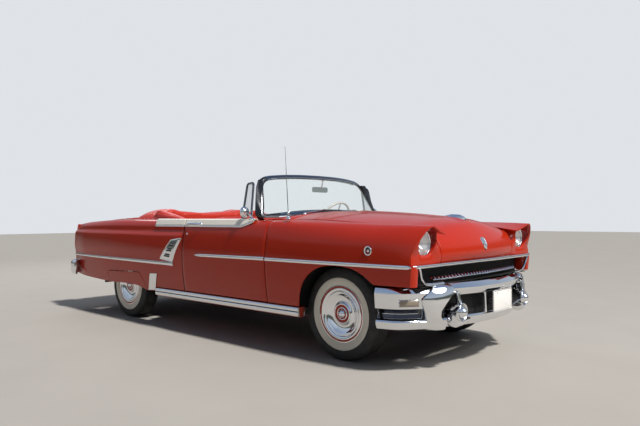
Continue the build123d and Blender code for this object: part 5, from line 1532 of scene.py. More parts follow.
def door_handle():
    """Pull handle on its two feet and the round lock under it."""
    handle = Form()
    y = side_y(0.045, 1.012)
    grip = curve_through([(-0.052, y + 0.008, 1.006), (-0.044, y + 0.023, 1.008),
                          (-0.015, y + 0.030, 1.011), (0.045, y + 0.0315, 1.013),
                          (0.105, y + 0.030, 1.011), (0.132, y + 0.023, 1.008),
                          (0.140, y + 0.008, 1.006)], 34)
    handle.tube(grip, [(0.0105 + 0.0065 * sin(pi * t), 0.0055) for t in np.linspace(0, 1, 34)], 14,
                squeeze=(0, 0, 1))
    for x in (-0.046, 0.134):
        handle.turned([(0.0, 0.021), (0.008, 0.019), (0.016, 0.012), (0.020, 0.005)], 8,
                      (x, y + 0.004, 1.009), axis="y", segments=28)
    handle.turned([(0.0, 0.011), (0.004, 0.010), (0.006, 0.006), (0.005, 0.0001)], 8,
                  (-0.052, side_y(-0.052, 0.922) - 0.0005, 0.922),
                 axis="y", segments=24)
    pair("door_handle", handle, CHROME, DOOR_BODIES, "chrome", angle=40)


def door_mirror():
    """Round mirror on a stalk at the front of the door."""
    mirror = Form()
    foot = (0.800, 0.878, 1.0560)
    mirror.turned([(0.0, 0.024), (0.005, 0.022), (0.010, 0.012), (0.016, 0.008)], 10, foot, axis="z",
                  segments=24)
    mirror.tube(curve_through([(0.800, 0.878, 1.066), (0.792, 0.884, 1.084), (0.772, 0.894, 1.103),
                               (0.748, 0.900, 1.111)], 12), 0.0075, 10)
    centre = (0.727, 0.900, 1.116)
    shell = [(0.0, 0.0480), (0.004, 0.0475), (0.012, 0.0440), (0.022, 0.0350), (0.029, 0.0200),
             (0.0318, 0.0001)]
    mirror.turned(shell, 16, centre, axis="x", segments=40)
    mirror.mat = 1
    mirror.lathe([(0.0015, 0.0465), (0.0015, 0.0001)], centre, axis="x", segments=40)
    pair("door_mirror", mirror, [CHROME, CHROME_SOFT], DOOR_BODIES, "chrome", angle=35)


def belt_line(x, low):
    """White band over the crest of the side at x, from its low edge up and inward."""
    row = spline(SIDE, x)
    crest, top = row[5], row[6]
    points = [(side_y(x, low) + 0.0010, low), (side_y(x, low + 0.004) + 0.0080, low + 0.004),
              (side_y(x, low + 0.018) + 0.0085, low + 0.018), (crest + 0.014, top - 0.013),
              (crest + 0.002, top + 0.009),
              (crest - 0.016, top + 0.013), (crest - 0.034, top + 0.011), (crest - 0.040, top + 0.002)]
    return [(x, y, max(z, low)) for y, z in curve_through(points, 18)]


def belt_strip(form, x0, x1, nose=None):
    """White band under the belt with a bright lower edge, and a slanted nose where one is given."""
    low = 0.9985
    rows = [belt_line(x, low) for x in np.linspace(x0, x1, 30)]
    if nose:
        rows += [belt_line(x1 + (nose - x1) * t, low + 0.044 * t ** 1.3)
                 for t in np.linspace(0, 1, 12)[1:]]
    form.mat = 0
    form.sheet(rows, 0.005, (0, 1, 0))
    form.mat = 1
    path = [(row[0][0], row[0][1] + 0.0050, row[0][2] - 0.004) for row in rows]
    if nose:
        path += [(x + 0.004, y + 0.003, z) for x, y, z in rows[-1][2:9:2]]
    form.tube(path, (0.0085, 0.0052), 10, squeeze=(0, 0, 1))
    return form


def hood_wing():
    """Spread wing on the ridge of the hood."""
    form = Form()
    loops = []
    for x, half, height in ((2.120, 0.004, 0.004), (2.150, 0.012, 0.012), (2.190, 0.030, 0.024),
                            (2.225, 0.044, 0.026), (2.262, 0.024, 0.028),
                            (2.300, 0.012, 0.024), (2.322, 0.006, 0.014)):
        z = at_x(HOOD, x) + 0.0045
        loops.append([(x - half * 0.8, -half, z + 0.001), (x, -half * 0.45, z + height * 0.45),
                      (x + 0.002, -0.004, z + height), (x + 0.002, 0.004, z + height),
                      (x, half * 0.45, z + height * 0.45), (x - half * 0.8, half, z + 0.001)])
    form.grid(loops, close_u=True, cap=True)
    make("hood_wing", form, CHROME, "hood_body", "chrome", ["hood_ornament"], bevel=0.0015, angle=30)


def nose_shield():
    """Plain shield on the nose."""
    emblem = Form()
    pts = [(0.0, -0.050), (0.026, -0.026), (0.036, 0.010), (0.031, 0.042), (0.0, 0.050), (-0.031, 0.042),
           (-0.036, 0.010), (-0.026, -0.026)]
    middle, out = Vector((2.4690, 0, 0.868)), Vector((0.90, 0, 0.43)).normalized()
    up = Vector((-0.43, 0, 0.90)).normalized()

    def ring(grow, lift):
        return [tuple(middle + Vector((0, u * grow, 0)) + up * (v * grow) + out * lift) for u, v in pts]

    rim = ((1.0, -0.004), (1.0, 0.003), (0.86, 0.008), (0.80, 0.0085))
    field = ((0.80, 0.0085), (0.74, 0.006), (0.40, 0.0075), (0.01, 0.0085))
    for emblem.mat, steps in ((0, rim), (1, field)):
        emblem.grid([ring(*s) for s in steps], close_u=True)
    make("nose_shield", emblem, [CHROME, CHROME_SOFT], "hood_body", "chrome", angle=30)


def bright_pieces():
    front_bumper()
    rear_bumper()
    grille()
    headlamps()
    tail_lamps()
    spears()
    quarter_ornament()
    low_trim()
    roundel()
    belt_and_door_trim()
    door_handle()
    door_mirror()
    hood_wing()
    nose_shield()


# Windshield and vent windows


def corner_curve(points, count):
    """Closed outline, its right half given from the top middle down to the bottom middle."""
    half = curve_through(points, count)
    return [(y, z) for y, z in half] + [(-y, z) for y, z in half[1:-1][::-1]]


def windshield_loop(inset):
    """Rounded outline of the windshield in y, z, less an inset."""
    i = inset
    points = [(0, 1.467 - i), (0.30, 1.463 - i), (0.52, 1.450 - i), (0.625 - i * 0.4, 1.436 - i),
              (0.688 - i * 0.8, 1.407 - i * 0.8),
              (0.716 - i, 1.368 - i * 0.3), (0.737 - i, 1.310), (0.765 - i, 1.225), (0.800 - i, 1.130),
              (0.815 - i, 1.094 + i * 0.2),
              (0.800 - i, 1.073 + i * 0.7), (0.735 - i, 1.068 + i), (0.40, 1.096 + i), (0, 1.108 + i)]
    return corner_curve(points, 60)


def windshield_surround():
    """Frame round the glass, bright in thin lines and elsewhere in dark plating and dark trim as painted
    reflection, with its padded header and the latch sockets for the top.
    """
    form = Form()
    rings = [(0.000, -0.021, 0), (0.000, -0.004, 0), (0.003, 0.0020, 2), (0.014, 0.0050, 2),
             (0.0245, 0.0040, 2), (0.0265, 0.0015, 0), (0.0300, 0.0010, 1), (0.0350, -0.0025, 1),
             (0.0360, -0.021, 1)]
    loops = []
    for inset, dx, _ in rings:
        loops.append([(glass_x(y, z) + dx, y, z) for y, z in windshield_loop(inset)])
    base = len(form.faces)
    form.grid(loops + [loops[0]], close_u=True)
    around = len(loops[0])
    for k in range(base, len(form.faces)):
        ring = (k - base) // around
        side = all(abs(form.verts[v][1]) > 0.62 for v in form.faces[k])
        form.mats[k] = 1 if side else rings[min(ring, len(rings) - 1)][2]
    # Padded header on the cabin side, in dark trim as painted reflection.
    form.mat = 1
    rows = []
    for y in np.linspace(-0.60, 0.60, 41):
        z = at_x([(0, 1.464), (0.30, 1.460), (0.52, 1.447), (0.60, 1.436)], abs(y))
        x = glass_x(y, z) - 0.021
        rows.append([(x + 0.004, y, z), (x - 0.016, y, z - 0.002), (x - 0.030, y, z - 0.014),
                     (x - 0.028, y, z - 0.030), (x - 0.006, y, z - 0.036), (x + 0.004, y, z - 0.034)])
    form.grid(rows, close_u=True, cap=True)
    form.mat = 0
    for sign in (1, -1):
        x, y = glass_x(0.36, 1.45), sign * 0.36
        form.box((x - 0.050, y - 0.020, 1.424), (x - 0.028, y + 0.020, 1.436))
    make("windshield_surround", form, [CHROME, REFLECTION_DARK_TRIM, REFLECTION_SMOKE_PLATING], "body", "chrome",
         ["windshield_frame"], angle=32)


def windshield_pane():
    pane = Form()
    rows = []
    for v in np.linspace(0, 1, 26):
        row = []
        for u in np.linspace(-1, 1, 61):
            top = at_x([(0, 1.440), (0.5, 1.433), (0.85, 1.410), (0.95, 1.388), (1.0, 1.350)], abs(u))
            low = at_x([(0, 1.122), (0.6, 1.108), (1.0, 1.090)], abs(u))
            z = low + (top - low) * v
            y = u * (0.795 - (z - 1.09) * (0.795 - 0.700) / 0.25)
            row.append((glass_x(y, z) - 0.0045, y, z))
        rows.append(row)
    pane.sheet(rows, 0.0045, (1, 0, 0.5))
    make("windshield_pane", pane, GLASS, "body", "clear_glass", ["windshield_glass"], angle=60)


def inside_mirror():
    mirror = Form()
    y = 0.080
    rows = []
    for dx, grow in ((0.014, 0.80), (0.010, 0.97), (-0.004, 1.0), (-0.008, 0.985)):
        outline = rounded(0.105 * grow, 0.026 * grow, 0.018 * grow, (y, 1.338), 8)
        rows.append([(0.700 + dx, a, b) for a, b in outline])
    mirror.mat = 2
    mirror.grid(rows, close_u=True, cap=True)
    mirror.mat = 1
    mirror.prism(rounded(0.098, 0.021, 0.015, (y, 1.338), 8), "x", 0.6912, 0.6930)
    mirror.mat = 0
    mirror.tube(curve_through([(0.712, y, 1.345), (0.728, y, 1.380), (0.736, y, 1.415),
                               (0.738, y, 1.432)], 12), 0.0065, 12)
    mirror.lathe([(0.0, 0.016), (0.008, 0.013), (0.010, 0.007)], (0.738, y, 1.428), axis="z", sign=-1,
                 segments=20)
    make("inside_mirror", mirror, [CHROME, CHROME_SOFT, BLACK], "body", "chrome", bevel=0.001, angle=35)


def wipers():
    form = Form()
    for y0, y1 in ((-0.42, -0.03), (0.12, 0.51)):
        z0 = 1.124 - 0.068 * (y0 / 0.79) ** 2
        x0 = glass_x(y0, 1.10) + 0.038
        form.turned([(0.0, 0.014), (0.008, 0.0135), (0.016, 0.010), (0.020, 0.004)], 8,
                    (x0, y0, z0 - 0.012), axis="z", segments=20)
        z1 = 1.135 - 0.06 * (y1 / 0.79) ** 2
        x1 = glass_x(y1, z1) + 0.010
        arm = [(x0, y0, z0 + 0.006), (x0 - 0.006, y0 + 0.10, z0 + 0.014),
               (x1 + 0.006, (y0 + y1) / 2 + 0.08, z1 + 0.008)]
        form.tube(curve_through(arm, 12), (0.0045, 0.0022), 8, squeeze=(0, 0, 1))
        blade = [(glass_x(q, z1 - 0.004 - 0.02 * abs(q)) + 0.006, q, z1 - 0.004 - 0.01 * abs(q - y1))
                 for q in np.linspace(y1 - 0.20, y1 + 0.12, 14)]
        form.mat = 1
        form.tube(blade, (0.005, 0.0028), 8, squeeze=(0, 0, 1))
        form.mat = 0
    make("wipers", form, [CHROME, RUBBER], "body", "chrome", angle=35)


def vent_x(z):
    """Distance of the vent window from the middle of the car at a height."""
    return 0.857 - 0.200 * (z - 1.05)


def vent_window():
    """Frame, rubber, latch and pane of the vent window on the door."""
    frame_loop = [(0.645, 1.050), (0.645, 1.20), (0.645, 1.340), (0.650, 1.358), (0.664, 1.368),
                  (0.705, 1.370), (0.722, 1.365), (0.733, 1.350), (0.750, 1.200), (0.766, 1.066),
                  (0.767, 1.050)]
    vent = Form()
    ring = [(x, vent_x(z), z) for x, z in frame_loop]
    smooth = []
    for (a, b) in zip(ring, ring[1:] + ring[:1]):
        for t in np.linspace(0, 1, 6, endpoint=False):
            smooth.append(tuple(p + (q - p) * t for p, q in zip(a, b)))
    # Frame and latch in dark plating as painted reflection.
    vent.tube(smooth, (0.0075, 0.0095), 12, closed=True, squeeze=(0, 1, 0))
    vent.mat = 1
    inner = [(0.656, 1.062), (0.656, 1.355), (0.721, 1.355), (0.755, 1.062)]
    vent.tube([(x, vent_x(z), z) for x, z in inner], 0.0045, 8, closed=True, squeeze=(0, 1, 0))
    vent.mat = 0
    vent.turned([(0.0, 0.009), (0.010, 0.008), (0.014, 0.003)], 6, (0.668, vent_x(1.09) - 0.008, 1.09),
                axis="y", sign=-1, segments=16)
    vent.box((0.662, vent_x(1.09) - 0.022, 1.084), (0.700, vent_x(1.09) - 0.016, 1.096))
    pair("vent_frame", vent, [REFLECTION_SMOKE_PLATING, RUBBER], DOOR_BODIES, "chrome", angle=35)
    pane = Form()
    pane.sheet([[(x, vent_x(z), z) for x, z in ((0.654, 1.062), (0.757, 1.062))],
                [(x, vent_x(z), z) for x, z in ((0.654, 1.20), (0.741, 1.20))],
                [(x, vent_x(z), z) for x, z in ((0.654, 1.355), (0.723, 1.355))]], 0.004, (0, 1, 0))
    pair("vent_pane", pane, GLASS, DOOR_BODIES, "clear_glass", ["vent_glass"])


def pillars():
    """Corner posts between the windshield and the vent windows, dark as painted reflection."""
    pillar = Form()
    stations = [(1.046, (0.868, 0.785), (0.830, 0.799), (0.792, 0.798), (0.830, 0.758)),
                (1.060, (0.866, 0.798), (0.822, 0.812), (0.788, 0.806), (0.826, 0.765)),
                (1.100, (0.842, 0.812), (0.800, 0.840), (0.784, 0.832), (0.812, 0.785)),
                (1.200, (0.800, 0.772), (0.776, 0.818), (0.765, 0.810), (0.772, 0.745)),
                (1.330, (0.752, 0.716), (0.748, 0.785), (0.737, 0.778), (0.728, 0.700)),
                (1.400, (0.735, 0.690), (0.738, 0.748), (0.722, 0.740), (0.712, 0.680))]
    rows = []
    for z in np.linspace(1.046, 1.400, 24):
        corners = [tuple(np.interp(z, [s[0] for s in stations], [s[k][m] for s in stations])
                         for m in (0, 1)) for k in (1, 2, 3, 4)]
        rows.append([(x, y, z) for x, y in corners])
    pillar.grid(rows, close_u=True, cap=True)
    make("windshield_pillars", pillar.both(), REFLECTION_DARK_TRIM, "body", "frame_black", bevel=0.006, segments=3,
         angle=30)


# Cabin


DIAL_SPREAD = 240.0
DIAL_NEEDLE = -60.0


def dial(form, x, y, z, radius, faces, ticks):
    """Round instrument facing the driver: bright rim, dark face, plain ticks and a needle."""
    rim, face, mark = faces
    form.mat = rim
    form.lathe([(0.0, radius), (0.010, radius), (0.013, radius * 0.95), (0.009, radius * 0.88),
                (0.004, radius * 0.87)], (x, y, z), axis="x", sign=-1, segments=40)
    form.mat = face
    form.lathe([(0.005, radius * 0.88), (0.005, 0.0001)], (x, y, z), axis="x", sign=-1, segments=40)
    form.mat = mark
    for k in range(ticks):
        a = radians(90 - DIAL_SPREAD / 2 + DIAL_SPREAD * k / (ticks - 1))
        u, v = cos(a), sin(a)
        r0, r1 = radius * (0.68 if k % 2 == 0 else 0.74), radius * 0.82
        form.tube([(x - 0.006, y + u * r0, z + v * r0), (x - 0.006, y + u * r1, z + v * r1)], 0.0009, 4)
    a = radians(90 + DIAL_NEEDLE)
    form.tube([(x - 0.0075, y, z), (x - 0.0075, y + cos(a) * radius * 0.7, z + sin(a) * radius * 0.7)],
              0.0010, 4)
    form.lathe([(0.005, radius * 0.10), (0.009, radius * 0.09), (0.0095, 0.0001)], (x, y, z), axis="x",
               sign=-1, segments=14)


def knob(form, x, y, z, radius, depth):
    profile = [(0.0, radius * 0.6), (depth * 0.5, radius * 0.7), (depth * 0.6, radius),
               (depth * 0.92, radius * 0.95), (depth, 0.0005)]
    form.turned(profile, 12, (x, y, z), axis="x", sign=-1, segments=20)


DRIVER_Y = 0.40
CLUSTER_Z = 0.985
GLOVE_BOX = (0.175, 0.0225, 0.006, (-0.48, 0.982))
# Dash section in x, z from its foot behind the cowl, over the top and down its face.
DASH = [(1.048, 0.946), (1.048, 1.040), (0.960, 1.046), (0.888, 1.044), (0.862, 1.039), (0.850, 1.028),
        (0.8430, 1.012), (0.8360, 1.006), (0.8330, 0.992), (0.8235, 0.972), (0.8205, 0.962),
        (0.8240, 0.952), (0.842, 0.9445)]
DASH_WHITE = (8, 9)


def dashboard():
    enamel, white, bright, dark, mark = range(5)
    form = Form()
    form.grid([[(x, y, z) for x, z in DASH] for y in np.linspace(-0.768, 0.768, 61)], close_u=True,
              cap=True)
    for k in range(len(form.faces) - 2):
        if k % len(DASH) in DASH_WHITE:
            form.mats[k] = white
    form.mat = bright
    for z, x in ((1.009, 0.8385), (0.956, 0.8205)):
        form.tube([(x, y, z) for y in np.linspace(-0.766, 0.766, 31)], 0.0042, 8)
    cluster(form, enamel, bright, dark, mark)
    for y in (0.245, 0.555, 0.625):
        dial(form, 0.8310, y, 0.983, 0.026, (bright, dark, mark), 7)
    # Radio with its buttons in the middle, knobs, switches and glove box.
    form.mat = bright
    form.prism(rounded(0.115, 0.0235, 0.006, (0.0, 0.983)), "x", 0.8180, 0.8310)
    form.mat = dark
    form.prism(rounded(0.066, 0.0110, 0.003, (0.0, 0.991)), "x", 0.8165, 0.8190)
    form.mat = mark
    for k in range(9):
        y = -0.052 + k * 0.013
        form.box((0.8158, y - 0.0006, 0.990), (0.8168, y + 0.0006, 0.997))
    form.mat = bright
    for k in range(5):
        form.box((0.812, -0.056 + k * 0.023, 0.966), (0.819, -0.039 + k * 0.023, 0.974))
    for y in (-0.094, 0.094):
        knob(form, 0.818, y, 0.984, 0.014, 0.024)
    for y in (-0.16, 0.17, 0.205, 0.655, 0.690):
        knob(form, 0.829, y, 0.975, 0.010, 0.020)
    form.mat = enamel
    form.prism(rounded(*GLOVE_BOX), "x", 0.8260, 0.8300)
    form.mat = bright
    knob(form, 0.826, -0.48, 0.997, 0.009, 0.016)
    form.tube([(0.8258, y, z) for y, z in rounded(*GLOVE_BOX)], 0.0016, 6, closed=True)
    make("dash_panel", form, [RED, WHITE_PAINT, CHROME, BLACK, IVORY], "body", "dash_red", ["dashboard"],
         bevel=0.0012, angle=30)


def cluster(form, enamel, bright, dark, mark):
    """Hooded instrument before the driver."""

    def about(y, z, share_y, share_z):
        return DRIVER_Y + (y - DRIVER_Y) * share_y, CLUSTER_Z + (z - CLUSTER_Z) * share_z

    arch = [(DRIVER_Y + 0.118 * cos(pi * k / 24), CLUSTER_Z + 0.062 * sin(pi * k / 24))
            for k in range(25)]
    outline = [(0.518, 0.962)] + arch + [(0.282, 0.962)]
    form.mat = enamel
    hood_steps = ((0.880, 1.0), (0.815, 1.0), (0.803, 0.985), (0.801, 0.955), (0.812, 0.930))
    form.grid([[(x, *about(y, z, g, g)) for y, z in outline] for x, g in hood_steps], close_u=True,
              cap=True)
    form.mat = dark
    form.prism([about(y, z, 0.925, 0.92) for y, z in outline], "x", 0.8105, 0.8130)
    form.mat = mark
    for k in range(13):
        a = radians(200 * k / 12 - 10)
        inner = 0.074 if k % 2 == 0 else 0.078
        form.tube([(0.8095, DRIVER_Y + cos(a) * r * 1.10, 0.979 + sin(a) * r * 0.52)
                   for r in (inner, 0.086)], 0.0011, 4)
    form.tube([(0.8085, DRIVER_Y, 0.976), (0.8085, 0.458, 1.003)], 0.0013, 4)
    form.mat = bright
    form.tube([(0.802, *about(y, z, 0.97, 0.97)) for y, z in outline], 0.0030, 8, closed=True)


COLUMN_RAKE = radians(28)
STEERING_CENTRE = (0.606, 0.400, 1.026)
STEERING_RADIUS = 0.210
STEERING_DISH = -0.012
HORN_RADIUS = 0.128


def steering():
    """Wheel and column about the column's axis, then leaned into place."""
    ahead = Vector((cos(COLUMN_RAKE), 0, -sin(COLUMN_RAKE)))
    turn = Vector((0, 0, 1)).rotation_difference(ahead).to_matrix().to_4x4()
    place = Matrix.Translation(Vector(STEERING_CENTRE)) @ turn
    form = Form()
    ring = []
    for k in range(120):
        a = 2 * pi * k / 120
        grip = 0.0122 + 0.0009 * cos(a * 40)
        row = []
        for j in range(14):
            b = 2 * pi * j / 14
            r = STEERING_RADIUS + grip * cos(b)
            row.append((r * cos(a), r * sin(a), STEERING_DISH + grip * sin(b)))
        ring.append(row)
    form.grid(ring, close_u=True, close_v=True)
    for a in (0, 180, 90):
        c, s = cos(radians(a)), sin(radians(a))
        path = curve_through([(0.030, 0.012), (0.09, 0.0), (0.15, -0.008), (0.205, -0.012)], 14)
        form.tube([(r * c, r * s, h) for r, h in path],
                  [(0.010 - 0.004 * t, 0.006) for t in np.linspace(0, 1, 14)], 10)
    form.turned([(-0.018, 0.004), (-0.016, 0.022), (-0.008, 0.032), (0.010, 0.034), (0.030, 0.030),
                 (0.034, 0.010)], 20, ORIGIN, axis="z", segments=40)
    form.mat = 1
    form.turned([(-0.034, 0.0004), (-0.033, 0.012), (-0.028, 0.020), (-0.016, 0.0225)], 12, ORIGIN,
                axis="z", segments=32)
    r = HORN_RADIUS
    horn = [(r * cos(a), r * sin(a), -0.010) for a in np.linspace(radians(-10), radians(190), 41)]
    form.tube(horn, 0.0042, 8)
    for a in (0, 90, 180):
        c, s = cos(radians(a)), sin(radians(a))
        form.tube([(0.030 * c, 0.030 * s, -0.012), (r * c, r * s, -0.010)], 0.0036, 8)
    form.mat = 0
    form.lathe([(0.030, 0.009), (0.098, 0.009)], ORIGIN, axis="z", segments=20)
    make("steering_rim", form.moved(place), [IVORY, CHROME], "steering_wheel_body", "wheel_white",
         ["steering_wheel"], angle=40)
    column = Form()
    column.turned([(0.040, 0.030), (0.060, 0.034), (0.120, 0.034), (0.140, 0.028), (0.30, 0.0262),
                   (0.60, 0.0262)], 24, ORIGIN, axis="z", segments=32)
    column.mat = 1
    column.lathe([(0.118, 0.0345), (0.128, 0.0355), (0.138, 0.0300)], ORIGIN, axis="z", segments=32)
    for a, reach, tip in ((200.0, 0.16, 0.012), (-20.0, 0.12, 0.010)):
        c, s = cos(radians(a)), sin(radians(a))
        column.tube([(0.030 * c, 0.030 * s, 0.085), (reach * c, reach * s, 0.045)], 0.0042, 10)
        column.turned([(-tip, 0.0005), (-tip * 0.6, tip * 0.8), (0.0, tip), (tip * 0.8, tip * 0.6),
                       (tip, 0.004)], 12, (reach * c, reach * s, 0.045), axis="z", segments=16)
    make("column_jacket", column.moved(place), [IVORY, CHROME], "body", "dash_red", angle=40)


VOXEL = 0.016
PUFF_PRESSURE = 4.0
PUFF_LIMIT = 0.010
PUFF_FRAMES = 20


def inflated(obj, pinned):
    """Puffs a closed form between its pinned seams with a cloth simulation, and applies the result."""
    mod = obj.modifiers.new("even", "REMESH")
    mod.mode, mod.voxel_size, mod.use_smooth_shade = "VOXEL", VOXEL, True
    base = applied(obj)
    obj.modifiers.clear()
    obj.data = base
    start = np.empty(len(base.vertices) * 3)
    base.vertices.foreach_get("co", start)
    start = start.reshape(-1, 3)
    held = obj.vertex_groups.new(name="held")
    held.add([i for i, co in enumerate(start) if pinned(co)], 1.0, "REPLACE")
    sim = obj.modifiers.new("puff", "CLOTH")
    sim.settings.use_pressure = True
    sim.settings.uniform_pressure_force = PUFF_PRESSURE
    sim.settings.quality = 4
    sim.settings.mass = 0.4
    sim.settings.tension_stiffness = sim.settings.compression_stiffness = 12.0
    sim.settings.bending_stiffness = 0.6
    sim.settings.effector_weights.gravity = 0.0
    sim.settings.vertex_group_mass = "held"
    sim.point_cache.frame_start, sim.point_cache.frame_end = 1, PUFF_FRAMES
    scene = bpy.context.scene
    for number in range(1, PUFF_FRAMES + 1):
        scene.frame_set(number)
    after = applied(obj)
    moved = np.empty(len(after.vertices) * 3)
    after.vertices.foreach_get("co", moved)
    moved = moved.reshape(-1, 3)
    shift = moved - start
    size = np.linalg.norm(shift, axis=1, keepdims=True)
    shift *= np.minimum(1.0, PUFF_LIMIT / np.maximum(size, 1e-9))
    after.vertices.foreach_set("co", (start + shift).ravel())
    obj.modifiers.clear()
    obj.vertex_groups.clear()
    obj.data = after
    scene.frame_set(1)
    sub = obj.modifiers.new("fine", "SUBSURF")
    sub.levels = sub.render_levels = 1
    obj.data = applied(obj)
    obj.modifiers.clear()
    return obj


def applied(obj):
    """Mesh of an object with its modifiers applied."""
    bpy.context.view_layer.update()
    graph = bpy.context.evaluated_depsgraph_get()
    graph.update()
    mesh = bpy.data.meshes.new_from_object(obj.evaluated_get(graph))
    mesh.polygons.foreach_set("use_smooth", [True] * len(mesh.polygons))
    return mesh


# Soft pieces


def crowned_bar(profile, half, centre, power):
    """Closed form of a profile in x, z along y whose ends round over towards its centre."""
    loop = curve_through(profile, 72, closed=True)
    cx, cz = centre
    count = 57
    rows = []
    for k in range(count):
        t = sin(pi * (k / (count - 1) - 0.5)) * 0.9995
        s = (1 - abs(t) ** power) ** (1 / power)
        rows.append([(cx + (x - cx) * s, half * t, cz + (z - cz) * s) for x, z in loop])
    return Form().grid(rows, close_u=True, cap=True)


def channels(obj, depth_at):
    """Presses sewn channels into a soft piece along its normals."""
    mesh = obj.data
    count = len(mesh.vertices)
    co, normal = np.empty(count * 3), np.empty(count * 3)
    mesh.vertices.foreach_get("co", co)
    mesh.vertices.foreach_get("normal", normal)
    co, normal = co.reshape(-1, 3), normal.reshape(-1, 3)
    depth = np.array([depth_at(p, n) for p, n in zip(co, normal)])
    mesh.vertices.foreach_set("co", (co - normal * depth[:, None]).ravel())
    mesh.update()


def dress(obj, materials, choose):
    """Gives each face one of the materials by its middle and normal."""
    obj.data.materials.clear()
    for m in materials:
        obj.data.materials.append(m)
    for f in obj.data.polygons:
        f.material_index = choose(f.center, f.normal)
        f.use_smooth = True
    obj.data.update()


def piping(obj, name, paths, radius, material, slot, way):
    """Welt cord laid on a soft piece along paths, each point dropped onto it along a way."""
    way = Vector(way)
    tree = BVHTree.FromPolygons([v.co for v in obj.data.vertices],
                                [f.vertices for f in obj.data.polygons])
    form = Form()
    for path, closed in paths:
        points = []
        for p in path:
            hit = tree.ray_cast(Vector(p) - way * 0.25, way)[0]
            if hit is not None:
                points.append(hit - way * radius * 0.35)
        if len(points) > 3:
            form.tube(points, radius, 8, closed=closed)
    return make(name, form, material, "body", slot)


def soft(name, form, materials, choose, pinned, slot, replaces, depth_at, fill=0.7):
    """Padded piece: remeshed, puffed, channelled and dressed in its materials."""
    obj = make(name, form, materials, "body", slot, replaces, angle=180)
    obj = inflated(obj, pinned)
    channels(obj, depth_at)
    dress(obj, materials, choose)
    return obj


def gutter(distance, width):
    """Depth from 1 in the middle of a seam to 0 beyond its width."""
    return max(0.0, 1 - (distance / width) ** 2) ** 2


def pleats(y, pitch):
    """0 on the crown of a roll and 1 in the seam between two."""
    return abs(cos(pi * y / pitch)) ** 6


def frame_of(points):
    """Points along each side of a closed polygon, stopping short of its corners."""
    out = []
    for a, b in zip(points, points[1:] + points[:1]):
        a, b = np.array(a, float), np.array(b, float)
        out += [tuple(a + (b - a) * t) for t in np.linspace(0.03, 0.97, 40)]
    return out


SEAM_WIDTH = 0.020
SEAM_DEPTH = 0.010
PLEAT_DEPTH = 0.008
PLEAT_PITCH = 0.062
PIPING_RADIUS = 0.0045


def pleated_insert(a, b, w, way, facing):
    """Sewn depth and material of an insert from a to b on one axis and w to each side."""

    def depth_at(p, n):
        if n[facing] < 0.35:
            return 0.0
        at, side = p[way], abs(p[1])
        near = abs(side - w) if a - 0.02 < at < b + 0.02 else 1.0
        across = min(abs(at - a), abs(at - b)) if side < w + 0.02 else 1.0
        fold = 0.0
        if a < at < b and side < w:
            fold = PLEAT_DEPTH * pleats(p[1], PLEAT_PITCH) * min(1.0, (at - a) / 0.02, (b - at) / 0.02)
        return max(SEAM_DEPTH * gutter(min(near, across), SEAM_WIDTH), fold)

    def choose(c, n):
        return 1 if n[facing] > 0.2 and a < c[way] < b and abs(c[1]) < w else 0

    return depth_at, choose


def bench_cushion(name, x0, x1, low, high, half, insert, replaces):
    """Seat cushion with a pleated insert between a front roll and side bolsters."""
    height = high - low
    middle = (x0 + x1) / 2
    profile = [(x0 + 0.02, low + 0.012), (middle, low + 0.008), (x1 - 0.05, low + 0.012),
               (x1 - 0.008, low + height * 0.35), (x1 - 0.012, high - height * 0.30 - 0.009),
               (x1 - 0.060, high - 0.010), (x1 - 0.19, high + 0.004), (middle, high - 0.006),
               (x0 + 0.10, high - 0.016), (x0 + 0.020, high - 0.030), (x0 + 0.008, low + height * 0.4)]
    form = crowned_bar(profile, half - 0.010, (middle, low + height * 0.55), 10.0)
    a, b, w = insert
    depth_at, choose = pleated_insert(a, b, w, 0, 2)

    def pinned(c):
        return c[2] < low + height * 0.18

    obj = soft(name, form, [SEAT_RED, SEAT_WHITE], choose, pinned, "seat_red", replaces, depth_at)
    ring = frame_of([(a, -w, high), (b, -w, high), (b, w, high), (a, w, high)])
    front = [(x1 + 0.02, y, high - height * 0.34) for y in np.linspace(-half + 0.035, half - 0.035, 60)]
    for ending, path, closed, way in (("_piping", ring, True, (0, 0, -1)),
                                      ("_front_piping", front, False, (-1, 0, 0))):
        piping(obj, name + ending, [(path, closed)], PIPING_RADIUS, SEAT_WHITE, "seat_red", way)


def bench_back(name, rows, half, insert, lean):
    """Seat back with a pleated insert on its front."""
    centre = (np.mean([p[0] for p in rows]), np.mean([p[1] for p in rows]))
    form = crowned_bar(rows, half - 0.008, centre, 9.0)
    a, b, w = insert
    low = min(p[1] for p in rows)
    depth_at, choose = pleated_insert(a, b, w, 2, 0)

    def pinned(c):
        return c[2] < low + 0.05

    obj = soft(name, form, [SEAT_RED, SEAT_WHITE], choose, pinned, "seat_red", (), depth_at)
    ring = frame_of([(0.0, -w, a), (0.0, w, a), (0.0, w, b), (0.0, -w, b)])
    ring = [(centre[0] + 0.02 - (p[2] - centre[1]) * lean, p[1], p[2]) for p in ring]
    piping(obj, name + "_piping", [(ring, True)], PIPING_RADIUS, SEAT_WHITE, "seat_red", (-1, 0, 0))


